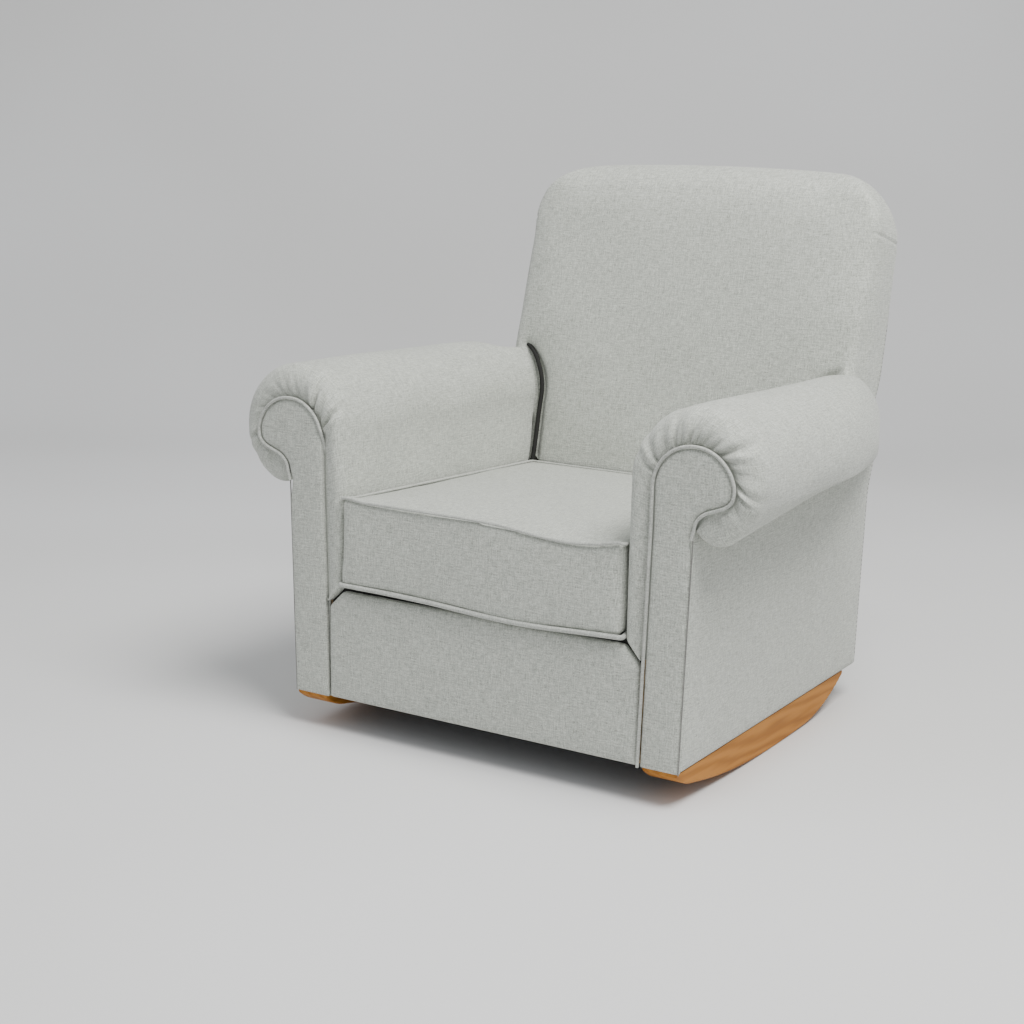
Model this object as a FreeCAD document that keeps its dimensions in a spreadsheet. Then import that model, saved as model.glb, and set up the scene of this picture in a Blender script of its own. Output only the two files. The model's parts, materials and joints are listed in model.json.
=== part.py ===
import FreeCAD, Part
import math
import os

import Sketcher
from FreeCAD import Placement, Rotation, Vector

# Upholstered rocking chair: rolled arms, a loose boxed seat cushion and two bolted wooden
# rockers under a hardwood frame. X runs across the seat, the chair faces -Y, +Z is up and
# the floor is z = 0. Left and right are those of a person looking at the chair's front.

doc = FreeCAD.newDocument("RockingChair")

# ---------------------------------------------------------------- driving dimensions

SIZES = {
    # seat base
    "base_half": 381, "base_bottom": 62, "front_face": 424.5, "base_rear": 304,
    "base_side_flare": 8.5, "cover_thick": 3, "rail_thick": 32, "side_rail_high": 110,
    "front_rail_high": 175, "front_rail_front": 405, "frame_half": 376,
    "border_half": 304.5, "border_top": 265, "border_cut": 30, "border_step": 2,
    "block_side": 60, "block_lift": 10, "front_block_high": 90, "rear_block_high": 45,
    # rockers
    "rocker_outer": 378, "rocker_wide": 63, "rocker_nose_y": 418, "rocker_nose_blunt": 6,
    "rocker_nose_long": 62, "rocker_nose_radius": 120,
    "rocker_rest_half": 110, "rocker_rest_y": -30, "rocker_front_radius": 1300,
    "rocker_rest_radius": 2600, "rocker_rear_radius": 360, "rocker_tail_blunt": 9,
    "rocker_edge_round": 4, "bolt_sink_deep": 34, "bolt_sink_clear": 1,
    "bolt_radius": 4, "bolt_front_y": 300, "bolt_rear_y": 60, "bolt_head_radius": 8,
    "bolt_head_high": 5, "bolt_play": 0.2, "tee_radius": 12, "tee_high": 2,
    "washer_radius": 10, "washer_high": 2,
    # arms
    "arm_inner": 275, "pad_bottom_cut": 29, "scroll_x": 385, "scroll_z": 511, "scroll_radius": 69,
    "scroll_drop": 15, "throat_x": 389.5, "throat_z": 468, "facing_inner_low": 305,
    "roll_z": 520, "roll_radius": 104, "roll_flat": 470, "roll_tongue": 446, "roll_rear": 304,
    "roll_left": 281, "roll_throat": 392, "roll_front_round": 24, "facing_board": 9,
    "welt_radius": 3.75, "arm_rail_high": 22, "arm_rail_inner": 309, "post_deep": 60,
    "liner_thick": 4, "outer_thick": 5, "post_gap": 3, "rear_post_y": 120, "arm_rail_rear": 192,
    "liner_rear": 110, "arm_edge_round": 13, "arm_back_gap": 2,
    # back
    "back_slope": 15.8, "back_y": 271.5, "back_z": 680, "back_pad_thick": 60, "back_half": 362,
    "back_low_half": 268, "back_low_z": 452, "back_top_z": 952, "back_corner": 70,
    "back_bottom_z": 246, "stile_wide": 32, "stile_deep": 40, "stile_bottom": 150,
    "stile_top": 880, "back_rail_high": 60, "lumbar_z": 560, "back_edge_round": 16,
    "side_border_thick": 10, "outside_back_thick": 4, "web_count": 5, "web_pitch": 105,
    "web_wide": 50, "web_thick": 1.2, "rear_low_deep": 96, "rear_wide_deep": 144,
    "rear_wide_z": 640, "rear_high_deep": 108, "rear_kink_z": 400, "rear_throat_y": 331,
    "rear_arm_y": 397, "rear_arm_z": 590, "rear_bulge_y": 421, "rear_bulge_z": 700,
    "rear_top_y": 434, "rear_top_z": 866, "back_crown_radius": 4200, "back_inner_gap": 2,
    "side_border_gap": 5, "top_border_low_gap": 8, "top_border_high_gap": 36,
    "top_border_rear_drop": 16, "top_border_front_drop": 5, "bottom_rail_lift": 60,
    "web_gap": 0.4, "web_lift": 10, "rear_panel_inset": 4,
    # seat
    "seat_pitch": 2.3, "cushion_front": 431, "cushion_half": 267.5, "cushion_bottom": 272.8,
    "cushion_high": 147, "cushion_rear_low": 139, "cushion_rear_high": 177, "cushion_round": 8,
    "cushion_corner": 16, "cushion_welt": 4, "welt_stand": 0.5, "welt_rear_ease": 1.9, "zip_long": 420,
    "cushion_wrap": 14,
    "core_corner": 16, "core_round": 6, "deck_half": 271, "deck_top": 268, "deck_rear": 132,
    "deck_thick": 18, "spring_wire": 1.9, "spring_count": 5, "spring_pitch": 110,
    "spring_half": 22, "spring_step": 24, "spring_front_lap": 12, "spring_rear": 140,
    "seat_spring_z": 241.6, "deck_rail_y": 118, "deck_rail_top": 214, "deck_rail_low": 130,
    "clip_wide": 16, "clip_long": 14, "clip_thick": 1.2, "clip_front_lap": 20,
    "clip_rear_lap": 4, "dust_thick": 1.2, "dust_gap": 2,
}

sheet = doc.addObject("Spreadsheet::Sheet", "Dimensions")
for row, (alias, number) in enumerate(SIZES.items(), start=1):
    sheet.set(f"A{row}", alias)
    sheet.set(f"B{row}", str(number))
    sheet.setAlias(f"B{row}", alias)
doc.recompute()


class Measure:
    """A length that knows both its number and the expression that binds it to the sheet."""

    def __init__(self, number, text):
        self.number = float(number)
        self.text = text

    def __add__(self, other):
        other = measure(other)
        return Measure(self.number + other.number, f"({self.text} + {other.text})")

    def __sub__(self, other):
        other = measure(other)
        return Measure(self.number - other.number, f"({self.text} - {other.text})")

    def __mul__(self, factor):
        return Measure(self.number * factor, f"({self.text} * {factor})")

    def __neg__(self):
        return Measure(-self.number, f"(0 - {self.text})")

    def __radd__(self, other):
        return measure(other) + self

    def __rsub__(self, other):
        return measure(other) - self


def measure(value):
    if isinstance(value, Measure):
        return value
    return Measure(value, f"({value})")


def size(alias):
    return Measure(SIZES[alias], f"Dimensions.{alias}")


def bind(thing, field, value):
    """Set a field of an object from a measure, and bind it to the sheet."""
    value = measure(value)
    if "." not in field:
        setattr(thing, field, value.number)
    thing.setExpression(field, value.text)


nodes = []


def keep(thing, label):
    """Name a finished sub-part: its label names its file."""
    thing.Label = label
    nodes.append(thing)
    return thing


# ---------------------------------------------------------------- sketch helpers

class Bend:
    """A round stretch of an outline: its radius, and whether it turns anticlockwise."""

    def __init__(self, radius, anticlockwise=True, long_way=False):
        self.radius = measure(radius)
        self.anticlockwise = anticlockwise
        self.long_way = long_way

    def centre(self, start, end):
        chord = end - start
        half = chord.Length / 2
        rise = math.sqrt(max(self.radius.number ** 2 - half ** 2, 0))
        side = Vector(-chord.y, chord.x, 0).normalize()
        if self.anticlockwise == self.long_way:
            side = side * -1
        return (start + end) * 0.5 + side * rise


def origin_plane(body, role):
    for feature in body.Origin.OriginFeatures:
        if feature.Role == role:
            return feature


def draw(body, name, role, outline, offset=0):
    """Sketch a closed outline of (u, v) corners, with a Bend between two where it is round."""
    sketch = body.newObject("Sketcher::SketchObject", name)
    sketch.AttachmentSupport = [(origin_plane(body, role), "")]
    sketch.MapMode = "FlatFace"
    bind(sketch, "AttachmentOffset.Base.z", offset)
    corners = [item for item in outline if not isinstance(item, Bend)]
    corners = [(measure(u), measure(v)) for u, v in corners]
    bends = {}
    seen = 0
    for item in outline:
        if isinstance(item, Bend):
            bends[seen - 1] = item
        else:
            seen += 1
    points = [Vector(u.number, v.number, 0) for u, v in corners]
    ends = []
    for index, start in enumerate(points):
        end = points[(index + 1) % len(points)]
        bend = bends.get(index)
        if bend is None:
            edge = sketch.addGeometry(Part.LineSegment(start, end), False)
            ends.append((edge, 1, 2))
            continue
        centre = bend.centre(start, end)
        low, high = (start, end) if bend.anticlockwise else (end, start)
        begin = math.atan2(low.y - centre.y, low.x - centre.x)
        finish = math.atan2(high.y - centre.y, high.x - centre.x)
        if finish < begin:
            finish += 2 * math.pi
        circle = Part.Circle(centre, Vector(0, 0, 1), bend.radius.number)
        edge = sketch.addGeometry(Part.ArcOfCircle(circle, begin, finish), False)
        limit = sketch.addConstraint(Sketcher.Constraint("Radius", edge, bend.radius.number))
        sketch.setExpression(f"Constraints[{limit}]", bend.radius.text)
        ends.append((edge, 1, 2) if bend.anticlockwise else (edge, 2, 1))
    for index, (edge, first, last) in enumerate(ends):
        following = ends[(index + 1) % len(ends)]
        sketch.addConstraint(
            Sketcher.Constraint("Coincident", edge, last, following[0], following[1]))
        for kind, value in zip(("DistanceX", "DistanceY"), corners[index]):
            limit = sketch.addConstraint(
                Sketcher.Constraint(kind, -1, 1, edge, first, value.number))
            sketch.setExpression(f"Constraints[{limit}]", value.text)
    return sketch


def new_body(name):
    return doc.addObject("PartDesign::Body", name)


def pad(body, sketch, length, middle=False, backwards=False):
    feature = body.newObject("PartDesign::Pad", sketch.Name + "_pad")
    feature.Profile = sketch
    bind(feature, "Length", length)
    feature.Midplane = middle
    feature.Reversed = backwards
    doc.recompute()
    return feature


def pocket(body, sketch, length, middle=False, backwards=False):
    before = body.Shape.Volume
    feature = body.newObject("PartDesign::Pocket", sketch.Name + "_pocket")
    feature.Profile = sketch
    bind(feature, "Length", length)
    feature.Midplane = middle
    feature.Reversed = backwards
    doc.recompute()
    if not body.Shape.Volume < before - 1:
        raise ValueError(f"{sketch.Name} cuts nothing")
    return feature


def round_edges(body, chosen, radius, name):
    """Round the edges of a body that the chosen test picks."""
    last = body.Tip
    picked = [f"Edge{index}" for index, edge in enumerate(last.Shape.Edges, start=1)
              if chosen(edge)]
    feature = body.newObject("PartDesign::Fillet", name)
    feature.Base = (last, picked)
    bind(feature, "Radius", radius)
    doc.recompute()
    return feature


def runs_along(edge, axis):
    first = edge.Vertexes[0].Point
    last = edge.Vertexes[-1].Point
    reach = last - first
    return edge.Length > 1 and abs(abs(reach.dot(axis)) - edge.Length) < 0.01


def board(name, role, outline, offset, length, **options):
    """A plain piece: one outline with one thickness."""
    body = new_body(name)
    pad(body, draw(body, name + "_outline", role, outline, offset), length, **options)
    return keep(body, name)


def rectangle(u_low, v_low, u_high, v_high):
    return [(u_low, v_low), (u_high, v_low), (u_high, v_high), (u_low, v_high)]


def drill(body, name, role, spots, radius, offset, length, backwards=False):
    """Round holes of one radius through a piece, square to one of its origin planes."""
    sketch = body.newObject("Sketcher::SketchObject", name)
    sketch.AttachmentSupport = [(origin_plane(body, role), "")]
    sketch.MapMode = "FlatFace"
    bind(sketch, "AttachmentOffset.Base.z", offset)
    radius = measure(radius)
    for u, v in spots:
        u, v = measure(u), measure(v)
        circle = Part.Circle(Vector(u.number, v.number, 0), Vector(0, 0, 1), radius.number)
        edge = sketch.addGeometry(circle, False)
        limit = sketch.addConstraint(Sketcher.Constraint("Radius", edge, radius.number))
        sketch.setExpression(f"Constraints[{limit}]", radius.text)
        for kind, value in (("DistanceX", u), ("DistanceY", v)):
            limit = sketch.addConstraint(Sketcher.Constraint(kind, -1, 1, edge, 3, value.number))
            sketch.setExpression(f"Constraints[{limit}]", value.text)
    return pocket(body, sketch, length, backwards=backwards)


SIDES = (("left", -1), ("right", 1))


def mirrored(outline, side):
    """The outline of the right-hand piece, or its mirror image for the left."""
    if side > 0:
        return outline
    flipped = []
    for item in outline:
        if isinstance(item, Bend):
            flipped.append(Bend(item.radius, not item.anticlockwise, item.long_way))
        else:
            flipped.append((-measure(item[0]), item[1]))
    return flipped


# ---------------------------------------------------------------- rockers

nose_y = -size("rocker_nose_y")
rest_y = size("rocker_rest_y")
rest_front = rest_y - size("rocker_rest_half")
rest_rear = rest_y + size("rocker_rest_half")


def rise(radius, reach):
    """How far an arc of this radius climbs over a reach from its lowest point."""
    return radius - math.sqrt(radius ** 2 - reach ** 2)


rest_radius = SIZES["rocker_rest_radius"]
rest_reach = SIZES["rocker_rest_half"]
rest_angle = math.asin(rest_reach / rest_radius)
rest_rise = rise(rest_radius, rest_reach)


def tangent_arc_height(radius, reach):
    """Height of an arc that leaves the resting arc smoothly, after a further reach."""
    start = radius * math.sin(rest_angle)
    top = radius * math.cos(rest_angle)
    return rest_rise + top - math.sqrt(radius ** 2 - (start + reach) ** 2)


front_reach = SIZES["rocker_nose_y"] + SIZES["rocker_rest_y"] - rest_reach
nose_start_z = tangent_arc_height(SIZES["rocker_front_radius"],
                                  front_reach - SIZES["rocker_nose_long"])
rear_start = SIZES["rocker_rear_radius"] * math.sin(rest_angle)
rear_top = SIZES["rocker_rear_radius"] * math.cos(rest_angle) + rest_rise
tail_low = SIZES["base_bottom"] - SIZES["rocker_tail_blunt"]
rear_fall = rear_top - tail_low
tail_reach = math.sqrt(SIZES["rocker_rear_radius"] ** 2 - rear_fall ** 2) - rear_start
tail_y = rest_rear + tail_reach
print("rocker nose starts at z", round(nose_start_z, 1), "tail at y", round(tail_y.number, 1))

rocker_outline = [
    (nose_y, size("base_bottom")), (nose_y, size("base_bottom") - size("rocker_nose_blunt")),
    Bend(size("rocker_nose_radius")),
    (nose_y + size("rocker_nose_long"), measure(nose_start_z)),
    Bend(size("rocker_front_radius")),
    (rest_front, measure(rest_rise)), Bend(size("rocker_rest_radius")),
    (rest_rear, measure(rest_rise)), Bend(size("rocker_rear_radius")),
    (tail_y, measure(tail_low)), (tail_y, size("base_bottom")),
]
bolt_x = size("frame_half") - size("rail_thick") * 0.5
bolt_rows = (-size("bolt_front_y"), size("bolt_rear_y"))
rocker_middle = size("rocker_outer") - size("rocker_wide") * 0.5

for side_name, side in SIDES:
    body = new_body(f"rocker_{side_name}")
    profile = draw(body, f"rocker_{side_name}_outline", "YZ_Plane", rocker_outline,
                   rocker_middle * side)
    pad(body, profile, size("rocker_wide"), middle=True)
    round_edges(body, lambda edge: edge.Curve.TypeId == "Part::GeomCircle",
                size("rocker_edge_round"), f"rocker_{side_name}_round")
    spots = [(bolt_x * side, row) for row in bolt_rows]
    drill(body, f"rocker_{side_name}_holes", "XY_Plane", spots, size("bolt_radius"),
          size("base_bottom") + 1, size("base_bottom") + 2)
    drill(body, f"rocker_{side_name}_sinks", "XY_Plane", spots,
          size("washer_radius") + size("bolt_sink_clear"),
          size("base_bottom") - size("bolt_sink_deep"), size("base_bottom"))
    keep(body, f"rocker_{side_name}")


# ---------------------------------------------------------------- seat frame

rail_low = size("base_bottom")
side_rail_top = rail_low + size("side_rail_high")
post_inner = size("frame_half") - size("rail_thick")
rail_front = -size("front_rail_front")
front_rail_back = rail_front + size("rail_thick")
rear_rail_back = size("base_rear") - size("outside_back_thick")
rear_rail_front = rear_rail_back - size("rail_thick")

for side_name, side in SIDES:
    body = new_body(f"side_rail_{side_name}")
    x_middle = (post_inner + size("rail_thick") * 0.5) * side
    outline = rectangle(rail_front, rail_low, rear_rail_back, side_rail_top)
    pad(body, draw(body, f"side_rail_{side_name}_outline", "YZ_Plane", outline, x_middle),
        size("rail_thick"), middle=True)
    drill(body, f"side_rail_{side_name}_holes", "XY_Plane",
          [(bolt_x * side, row) for row in bolt_rows], size("bolt_radius"),
          side_rail_top + 1, size("side_rail_high") + 2)
    keep(body, f"side_rail_{side_name}")

for name, rear_face, top in (("front_rail", front_rail_back, rail_low + size("front_rail_high")),
                             ("rear_rail", rear_rail_back, side_rail_top)):
    board(name, "XZ_Plane", rectangle(-post_inner, rail_low, post_inner, top), -rear_face,
          size("rail_thick"))

block = size("block_side")
for end_name, corner_y, toward, block_high in (
        ("front", front_rail_back, 1, size("front_block_high")),
        ("rear", rear_rail_front, -1, size("rear_block_high"))):
    for side_name, side in SIDES:
        corner = (post_inner * side, corner_y)
        along = (post_inner * side - block * side, corner_y)
        across = (post_inner * side, corner_y + block * toward)
        board(f"corner_block_{end_name}_{side_name}", "XY_Plane", [corner, along, across],
              rail_low + size("block_lift"), block_high)


# ---------------------------------------------------------------- rocker fastenings

def group(label, solids):
    """Identical loose pieces that share one node."""
    feature = doc.addObject("Part::Feature", label)
    feature.Shape = Part.makeCompound(solids)
    return keep(feature, label)


def each_bolt():
    for side_name, side in SIDES:
        for row in bolt_rows:
            yield bolt_x.number * side, row.number


sink_roof = SIZES["base_bottom"] - SIZES["bolt_sink_deep"]
bolts = []
washers = []
tees = []
rail_top_z = side_rail_top.number
for x, y in each_bolt():
    head_top = sink_roof - SIZES["washer_high"]
    head = Part.makeCylinder(SIZES["bolt_head_radius"], SIZES["bolt_head_high"],
                             Vector(x, y, head_top - SIZES["bolt_head_high"]))
    flats = Part.makePolygon([
        Vector(x + SIZES["bolt_head_radius"] * math.cos(math.radians(60 * turn)),
               y + SIZES["bolt_head_radius"] * math.sin(math.radians(60 * turn)),
               head_top - SIZES["bolt_head_high"]) for turn in range(7)])
    hexagon = Part.Face(flats).extrude(Vector(0, 0, SIZES["bolt_head_high"]))
    shank_radius = SIZES["bolt_radius"] - SIZES["bolt_play"]
    shank_length = rail_top_z + SIZES["tee_high"] - head_top
    shank = Part.makeCylinder(shank_radius, shank_length, Vector(x, y, head_top))
    bolts.append(head.common(hexagon).fuse(shank).removeSplitter())
    washer = Part.makeCylinder(SIZES["washer_radius"], SIZES["washer_high"], Vector(x, y, head_top))
    washers.append(washer.cut(Part.makeCylinder(SIZES["bolt_radius"], SIZES["washer_high"],
                                                Vector(x, y, head_top))))
    plate = Part.makeCylinder(SIZES["tee_radius"], SIZES["tee_high"], Vector(x, y, rail_top_z))
    tees.append(plate.cut(Part.makeCylinder(SIZES["bolt_radius"], SIZES["tee_high"],
                                            Vector(x, y, rail_top_z))))
group("rocker_bolts", bolts)
group("rocker_washers", washers)
group("tee_nuts", tees)


# ---------------------------------------------------------------- arms

front_face = size("front_face")
board_front = -front_face + size("cover_thick")
board_rear = board_front + size("facing_board")
arm_rail_top = size("roll_flat")
arm_rail_low = arm_rail_top - size("arm_rail_high")
scroll_x = size("scroll_x")
scroll_z = size("scroll_z")
scroll_radius = size("scroll_radius")
drop = SIZES["scroll_drop"]
scroll_end_x = SIZES["scroll_x"] + math.sqrt(SIZES["scroll_radius"] ** 2 - drop ** 2)


def facing_outline():
    """Scroll head over a straight leg, as seen from the front on the right-hand arm."""
    return [
        (size("facing_inner_low"), size("base_bottom")),
        (scroll_x - scroll_radius, scroll_z), Bend(scroll_radius, anticlockwise=False,
                                                   long_way=True),
        (measure(scroll_end_x), scroll_z - size("scroll_drop")),
        (size("throat_x"), size("throat_z")),
        (size("base_half"), size("base_bottom")),
    ]


def back_front_y(z):
    """Where the leaning front of the back stands at a height."""
    return size("back_y") + (measure(z) - size("back_z")) * math.tan(
        math.radians(SIZES["back_slope"]))


def behind_back(gap, low, high):
    """Everything behind the back's front plane, less a gap: the part that arms are cut by."""
    far = measure(600)
    return [(back_front_y(low) - gap, low), (far, low), (far, high),
            (back_front_y(high) - gap, high)]


arm_blank = front_face + size("base_rear")

for side_name, side in SIDES:
    board(f"facing_board_{side_name}", "XZ_Plane", mirrored(facing_outline(), side),
          -board_rear, size("facing_board"))

    post_x = (post_inner + size("rail_thick") * 0.5) * side
    post_low = side_rail_top + size("post_gap")
    front_post = rectangle(rail_front, post_low, rail_front + size("post_deep"), arm_rail_low)
    board(f"arm_front_post_{side_name}", "YZ_Plane", front_post, post_x, size("rail_thick"),
          middle=True)
    rear_post = rectangle(size("rear_post_y"), post_low, size("rear_post_y") + size("post_deep"),
                          arm_rail_low)
    board(f"arm_rear_post_{side_name}", "YZ_Plane", rear_post, post_x, size("rail_thick"),
          middle=True)
    board(f"arm_rail_{side_name}", "XY_Plane",
          mirrored(rectangle(size("arm_rail_inner"), board_rear, size("base_half") + 2,
                             size("arm_rail_rear")), side), arm_rail_low, size("arm_rail_high"))
    liner_x = (size("border_half") + size("liner_thick") * 0.5 + 0.2) * side
    board(f"arm_liner_{side_name}", "YZ_Plane",
          rectangle(front_rail_back + 0.5, side_rail_top, size("liner_rear"), arm_rail_top - 0.5),
          liner_x, size("liner_thick"), middle=True)

    body = new_body(f"inside_arm_{side_name}")
    cut = size("pad_bottom_cut")
    inner_outline = [(size("arm_inner"), size("border_top") + 1),
                     (size("border_half"), size("border_top") + 1 - cut),
                     (size("border_half"), arm_rail_top), (size("arm_inner"), arm_rail_top)]
    pad(body, draw(body, f"inside_arm_{side_name}_outline", "XZ_Plane",
                   mirrored(inner_outline, side), front_face - size("border_step")), arm_blank,
        backwards=True)
    waste = behind_back(size("arm_back_gap"), measure(150), measure(560))
    pocket(body, draw(body, f"inside_arm_{side_name}_rear", "YZ_Plane", waste,
                      measure(0)), size("base_half") * 2, middle=True)
    round_edges(body, lambda edge: edge.BoundBox.YMax < -SIZES["front_face"] + 3
                and abs(edge.BoundBox.XMin) < SIZES["arm_inner"] + 1
                and abs(edge.BoundBox.XMax) < SIZES["arm_inner"] + 1
                and runs_along(edge, Vector(0, 0, 1)), size("arm_edge_round"),
                f"inside_arm_{side_name}_round")
    keep(body, f"inside_arm_{side_name}")

    body = new_body(f"arm_roll_{side_name}")
    tongue_drop = SIZES["roll_z"] - SIZES["roll_tongue"]
    tongue_x = SIZES["scroll_x"] + math.sqrt(SIZES["roll_radius"] ** 2 - tongue_drop ** 2)
    roll_outline = [
        (size("roll_left"), size("roll_flat")), (size("roll_left"), size("roll_z")),
        Bend(size("roll_radius"), anticlockwise=False, long_way=True),
        (measure(tongue_x), size("roll_tongue")), (size("roll_throat"), size("roll_tongue")),
        (size("roll_throat"), size("roll_flat")),
    ]
    pad(body, draw(body, f"arm_roll_{side_name}_outline", "XZ_Plane",
                   mirrored(roll_outline, side), -board_rear), size("roll_rear") - board_rear,
        backwards=True)
    notch = behind_back(size("arm_back_gap"), measure(430), measure(640))
    pocket(body, draw(body, f"arm_roll_{side_name}_notch", "YZ_Plane", notch, measure(0)),
           (size("back_half") + 2) * 2, middle=True)
    round_edges(body, lambda edge: edge.Length > 100 and edge.Curve.TypeId == "Part::GeomCircle"
                and edge.BoundBox.YMax < board_rear.number + 1, size("roll_front_round"),
                f"arm_roll_{side_name}_round")
    keep(body, f"arm_roll_{side_name}")

    outer_outline = [
        (size("base_half") - size("outer_thick"), size("base_bottom")),
        (size("base_half"), size("base_bottom")),
        (size("base_half") + size("base_side_flare"), size("roll_tongue") - 1),
        (size("base_half") + size("base_side_flare") - size("outer_thick"),
         size("roll_tongue") - 1),
    ]
    board(f"outside_arm_{side_name}", "XZ_Plane", mirrored(outer_outline, side), -board_rear,
          size("base_rear") - size("outside_back_thick") - 0.5 - board_rear, backwards=True)


def inset_wire(side, inset, y):
    """The facing's outline as a wire in a plane of constant y, drawn in by an inset."""
    outline = mirrored(facing_outline(), side)
    corners = []
    bend_after = {}
    for item in outline:
        if isinstance(item, Bend):
            bend_after[len(corners) - 1] = item
        else:
            corners.append(Vector(measure(item[0]).number, measure(item[1]).number, 0))
    edges = []
    for index, start in enumerate(corners):
        end = corners[(index + 1) % len(corners)]
        bend = bend_after.get(index)
        if bend is None:
            edges.append(Part.makeLine(start, end))
            continue
        centre = bend.centre(start, end)
        middle = centre + ((start - centre) + (end - centre)).normalize() * (
            bend.radius.number * (-1 if bend.long_way else 1))
        edges.append(Part.Arc(start, middle, end).toShape())
    wire = Part.Wire(edges)
    smaller = wire.makeOffset2D(-inset)
    smaller.rotate(Vector(0, 0, 0), Vector(1, 0, 0), 90)
    smaller.translate(Vector(0, y, 0))
    return smaller


def pipe(path, radius, start=None):
    """A round bar along a wire."""
    edge = path.OrderedEdges[0]
    first = edge.valueAt(edge.FirstParameter) if start is None else start
    tangent = edge.tangentAt(edge.FirstParameter)
    ring = Part.Wire(Part.Circle(first, tangent, radius).toShape())
    solid = path.makePipeShell([ring], True, False)
    return solid


for side_name, side in SIDES:
    cover = doc.addObject("Part::Feature", f"arm_facing_{side_name}")
    panel = Part.Face(inset_wire(side, 2 * SIZES["welt_radius"], -SIZES["front_face"]))
    cover.Shape = panel.extrude(Vector(0, SIZES["cover_thick"], 0))
    keep(cover, f"arm_facing_{side_name}")

    welt = doc.addObject("Part::Feature", f"arm_welt_{side_name}")
    welt_y = board_front.number - SIZES["welt_radius"]
    route = inset_wire(side, SIZES["welt_radius"], welt_y)
    bottom = SIZES["base_bottom"] + SIZES["welt_radius"]
    upright = [edge for edge in route.OrderedEdges if edge.BoundBox.ZMax > bottom + 1]
    welt.Shape = pipe(Part.Wire(Part.__sortEdges__(upright)), SIZES["welt_radius"])
    keep(welt, f"arm_welt_{side_name}")


# ---------------------------------------------------------------- front border and deck

border = size("border_half")
cut = size("border_cut")
border_top = size("border_top")
border_outline = [
    (-border, rail_low), (border, rail_low), (border, border_top - cut - 1),
    (border - cut, border_top - 1), (cut - border, border_top - 1),
    (-border, border_top - cut - 1),
]
board("front_border", "XZ_Plane", border_outline, size("front_rail_front"),
      front_face - size("border_step") - size("front_rail_front"))

seat_hinge = Vector(0, -SIZES["cushion_front"], SIZES["deck_top"])
seat_turn = Rotation(Vector(1, 0, 0), -SIZES["seat_pitch"])


def pitch(thing):
    """Lean a seat piece back about the front edge of the deck."""
    thing.Placement = Placement(Vector(0, 0, 0), seat_turn, seat_hinge)


deck_front = rail_front + 2
deck = board("deck_pad", "XY_Plane",
             rectangle(-size("deck_half"), deck_front, size("deck_half"), size("deck_rear")),
             size("deck_top") - size("deck_thick"), size("deck_thick"))
pitch(deck)


def wavy_spring(x, y_front, y_rear, z, step):
    """A sinuous wire spring: straight rungs joined by half-round ends."""
    half = SIZES["spring_half"]
    radius = step / 2
    edges = []
    count = int((y_rear - y_front) // step)
    side = 1
    for rung in range(count):
        y = y_front + rung * step
        low = Vector(x - side * half, y, z)
        high = Vector(x + side * half, y, z)
        edges.append(Part.makeLine(low, high))
        if rung < count - 1:
            turn = Vector(x + side * (half + radius), y + radius, z)
            after = Vector(x + side * half, y + step, z)
            edges.append(Part.Arc(high, turn, after).toShape())
        side = -side
    return pipe(Part.Wire(edges), SIZES["spring_wire"])


springs = []
clips = []
for number in range(SIZES["spring_count"]):
    x = (number - (SIZES["spring_count"] - 1) / 2) * SIZES["spring_pitch"]
    springs.append(wavy_spring(x, front_rail_back.number - SIZES["spring_front_lap"],
                               SIZES["spring_rear"], 0, SIZES["spring_step"]))
seat_springs = group("seat_springs", springs)
seat_springs.Placement = Placement(Vector(0, 0, SIZES["seat_spring_z"]), seat_turn,
                                   Vector(0, rail_front.number, 0))


# ---------------------------------------------------------------- back

lean = math.radians(SIZES["back_slope"])
along_back = Vector(0, math.sin(lean), math.cos(lean))
through_back = Vector(0, math.cos(lean), -math.sin(lean))
back_origin = Vector(0, SIZES["back_y"], SIZES["back_z"])
back_turn = Rotation(Vector(1, 0, 0), -SIZES["back_slope"])


def up_back(z):
    """Distance along the leaning back, from its reference line to a height of its front."""
    return (measure(z) - size("back_z")) * (1 / math.cos(lean))


def lean_back(thing):
    """Stand a piece that was drawn upright on the back's leaning plane."""
    thing.Placement = Placement(back_origin, back_turn)
    bind(thing, "Placement.Base.y", size("back_y"))
    bind(thing, "Placement.Base.z", size("back_z"))


half = size("back_half")
low_half = size("back_low_half")
corner = size("back_corner")
top = up_back(size("back_top_z"))
shoulder = up_back(size("back_low_z"))
foot = up_back(size("back_bottom_z"))
back_outline = [
    (-low_half, foot), (low_half, foot), (low_half, shoulder), (half, shoulder),
    (half, top - corner), Bend(corner), (half - corner, top), Bend(size("back_crown_radius")),
    (corner - half, top), Bend(corner), (-half, top - corner), (-half, shoulder),
    (-low_half, shoulder),
]
body = new_body("inside_back")
pad(body, draw(body, "inside_back_outline", "XZ_Plane", back_outline, measure(0)),
    size("back_pad_thick"), backwards=True)
round_edges(body, lambda edge: edge.BoundBox.YMax < 0.5
            and edge.BoundBox.ZMax > shoulder.number + 1, size("back_edge_round"),
            "inside_back_round")
keep(body, "inside_back")
lean_back(body)

stile_front = size("back_pad_thick") + size("back_inner_gap")
stile_outer = size("frame_half") - size("rail_thick") - 0.3
for side_name, side in SIDES:
    middle_x = (stile_outer - size("stile_wide") * 0.5) * side
    outline = rectangle(stile_front, up_back(size("stile_bottom")),
                        stile_front + size("stile_deep"), up_back(size("stile_top")))
    stile = board(f"back_stile_{side_name}", "YZ_Plane", outline, middle_x, size("stile_wide"),
                  middle=True)
    lean_back(stile)

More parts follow.
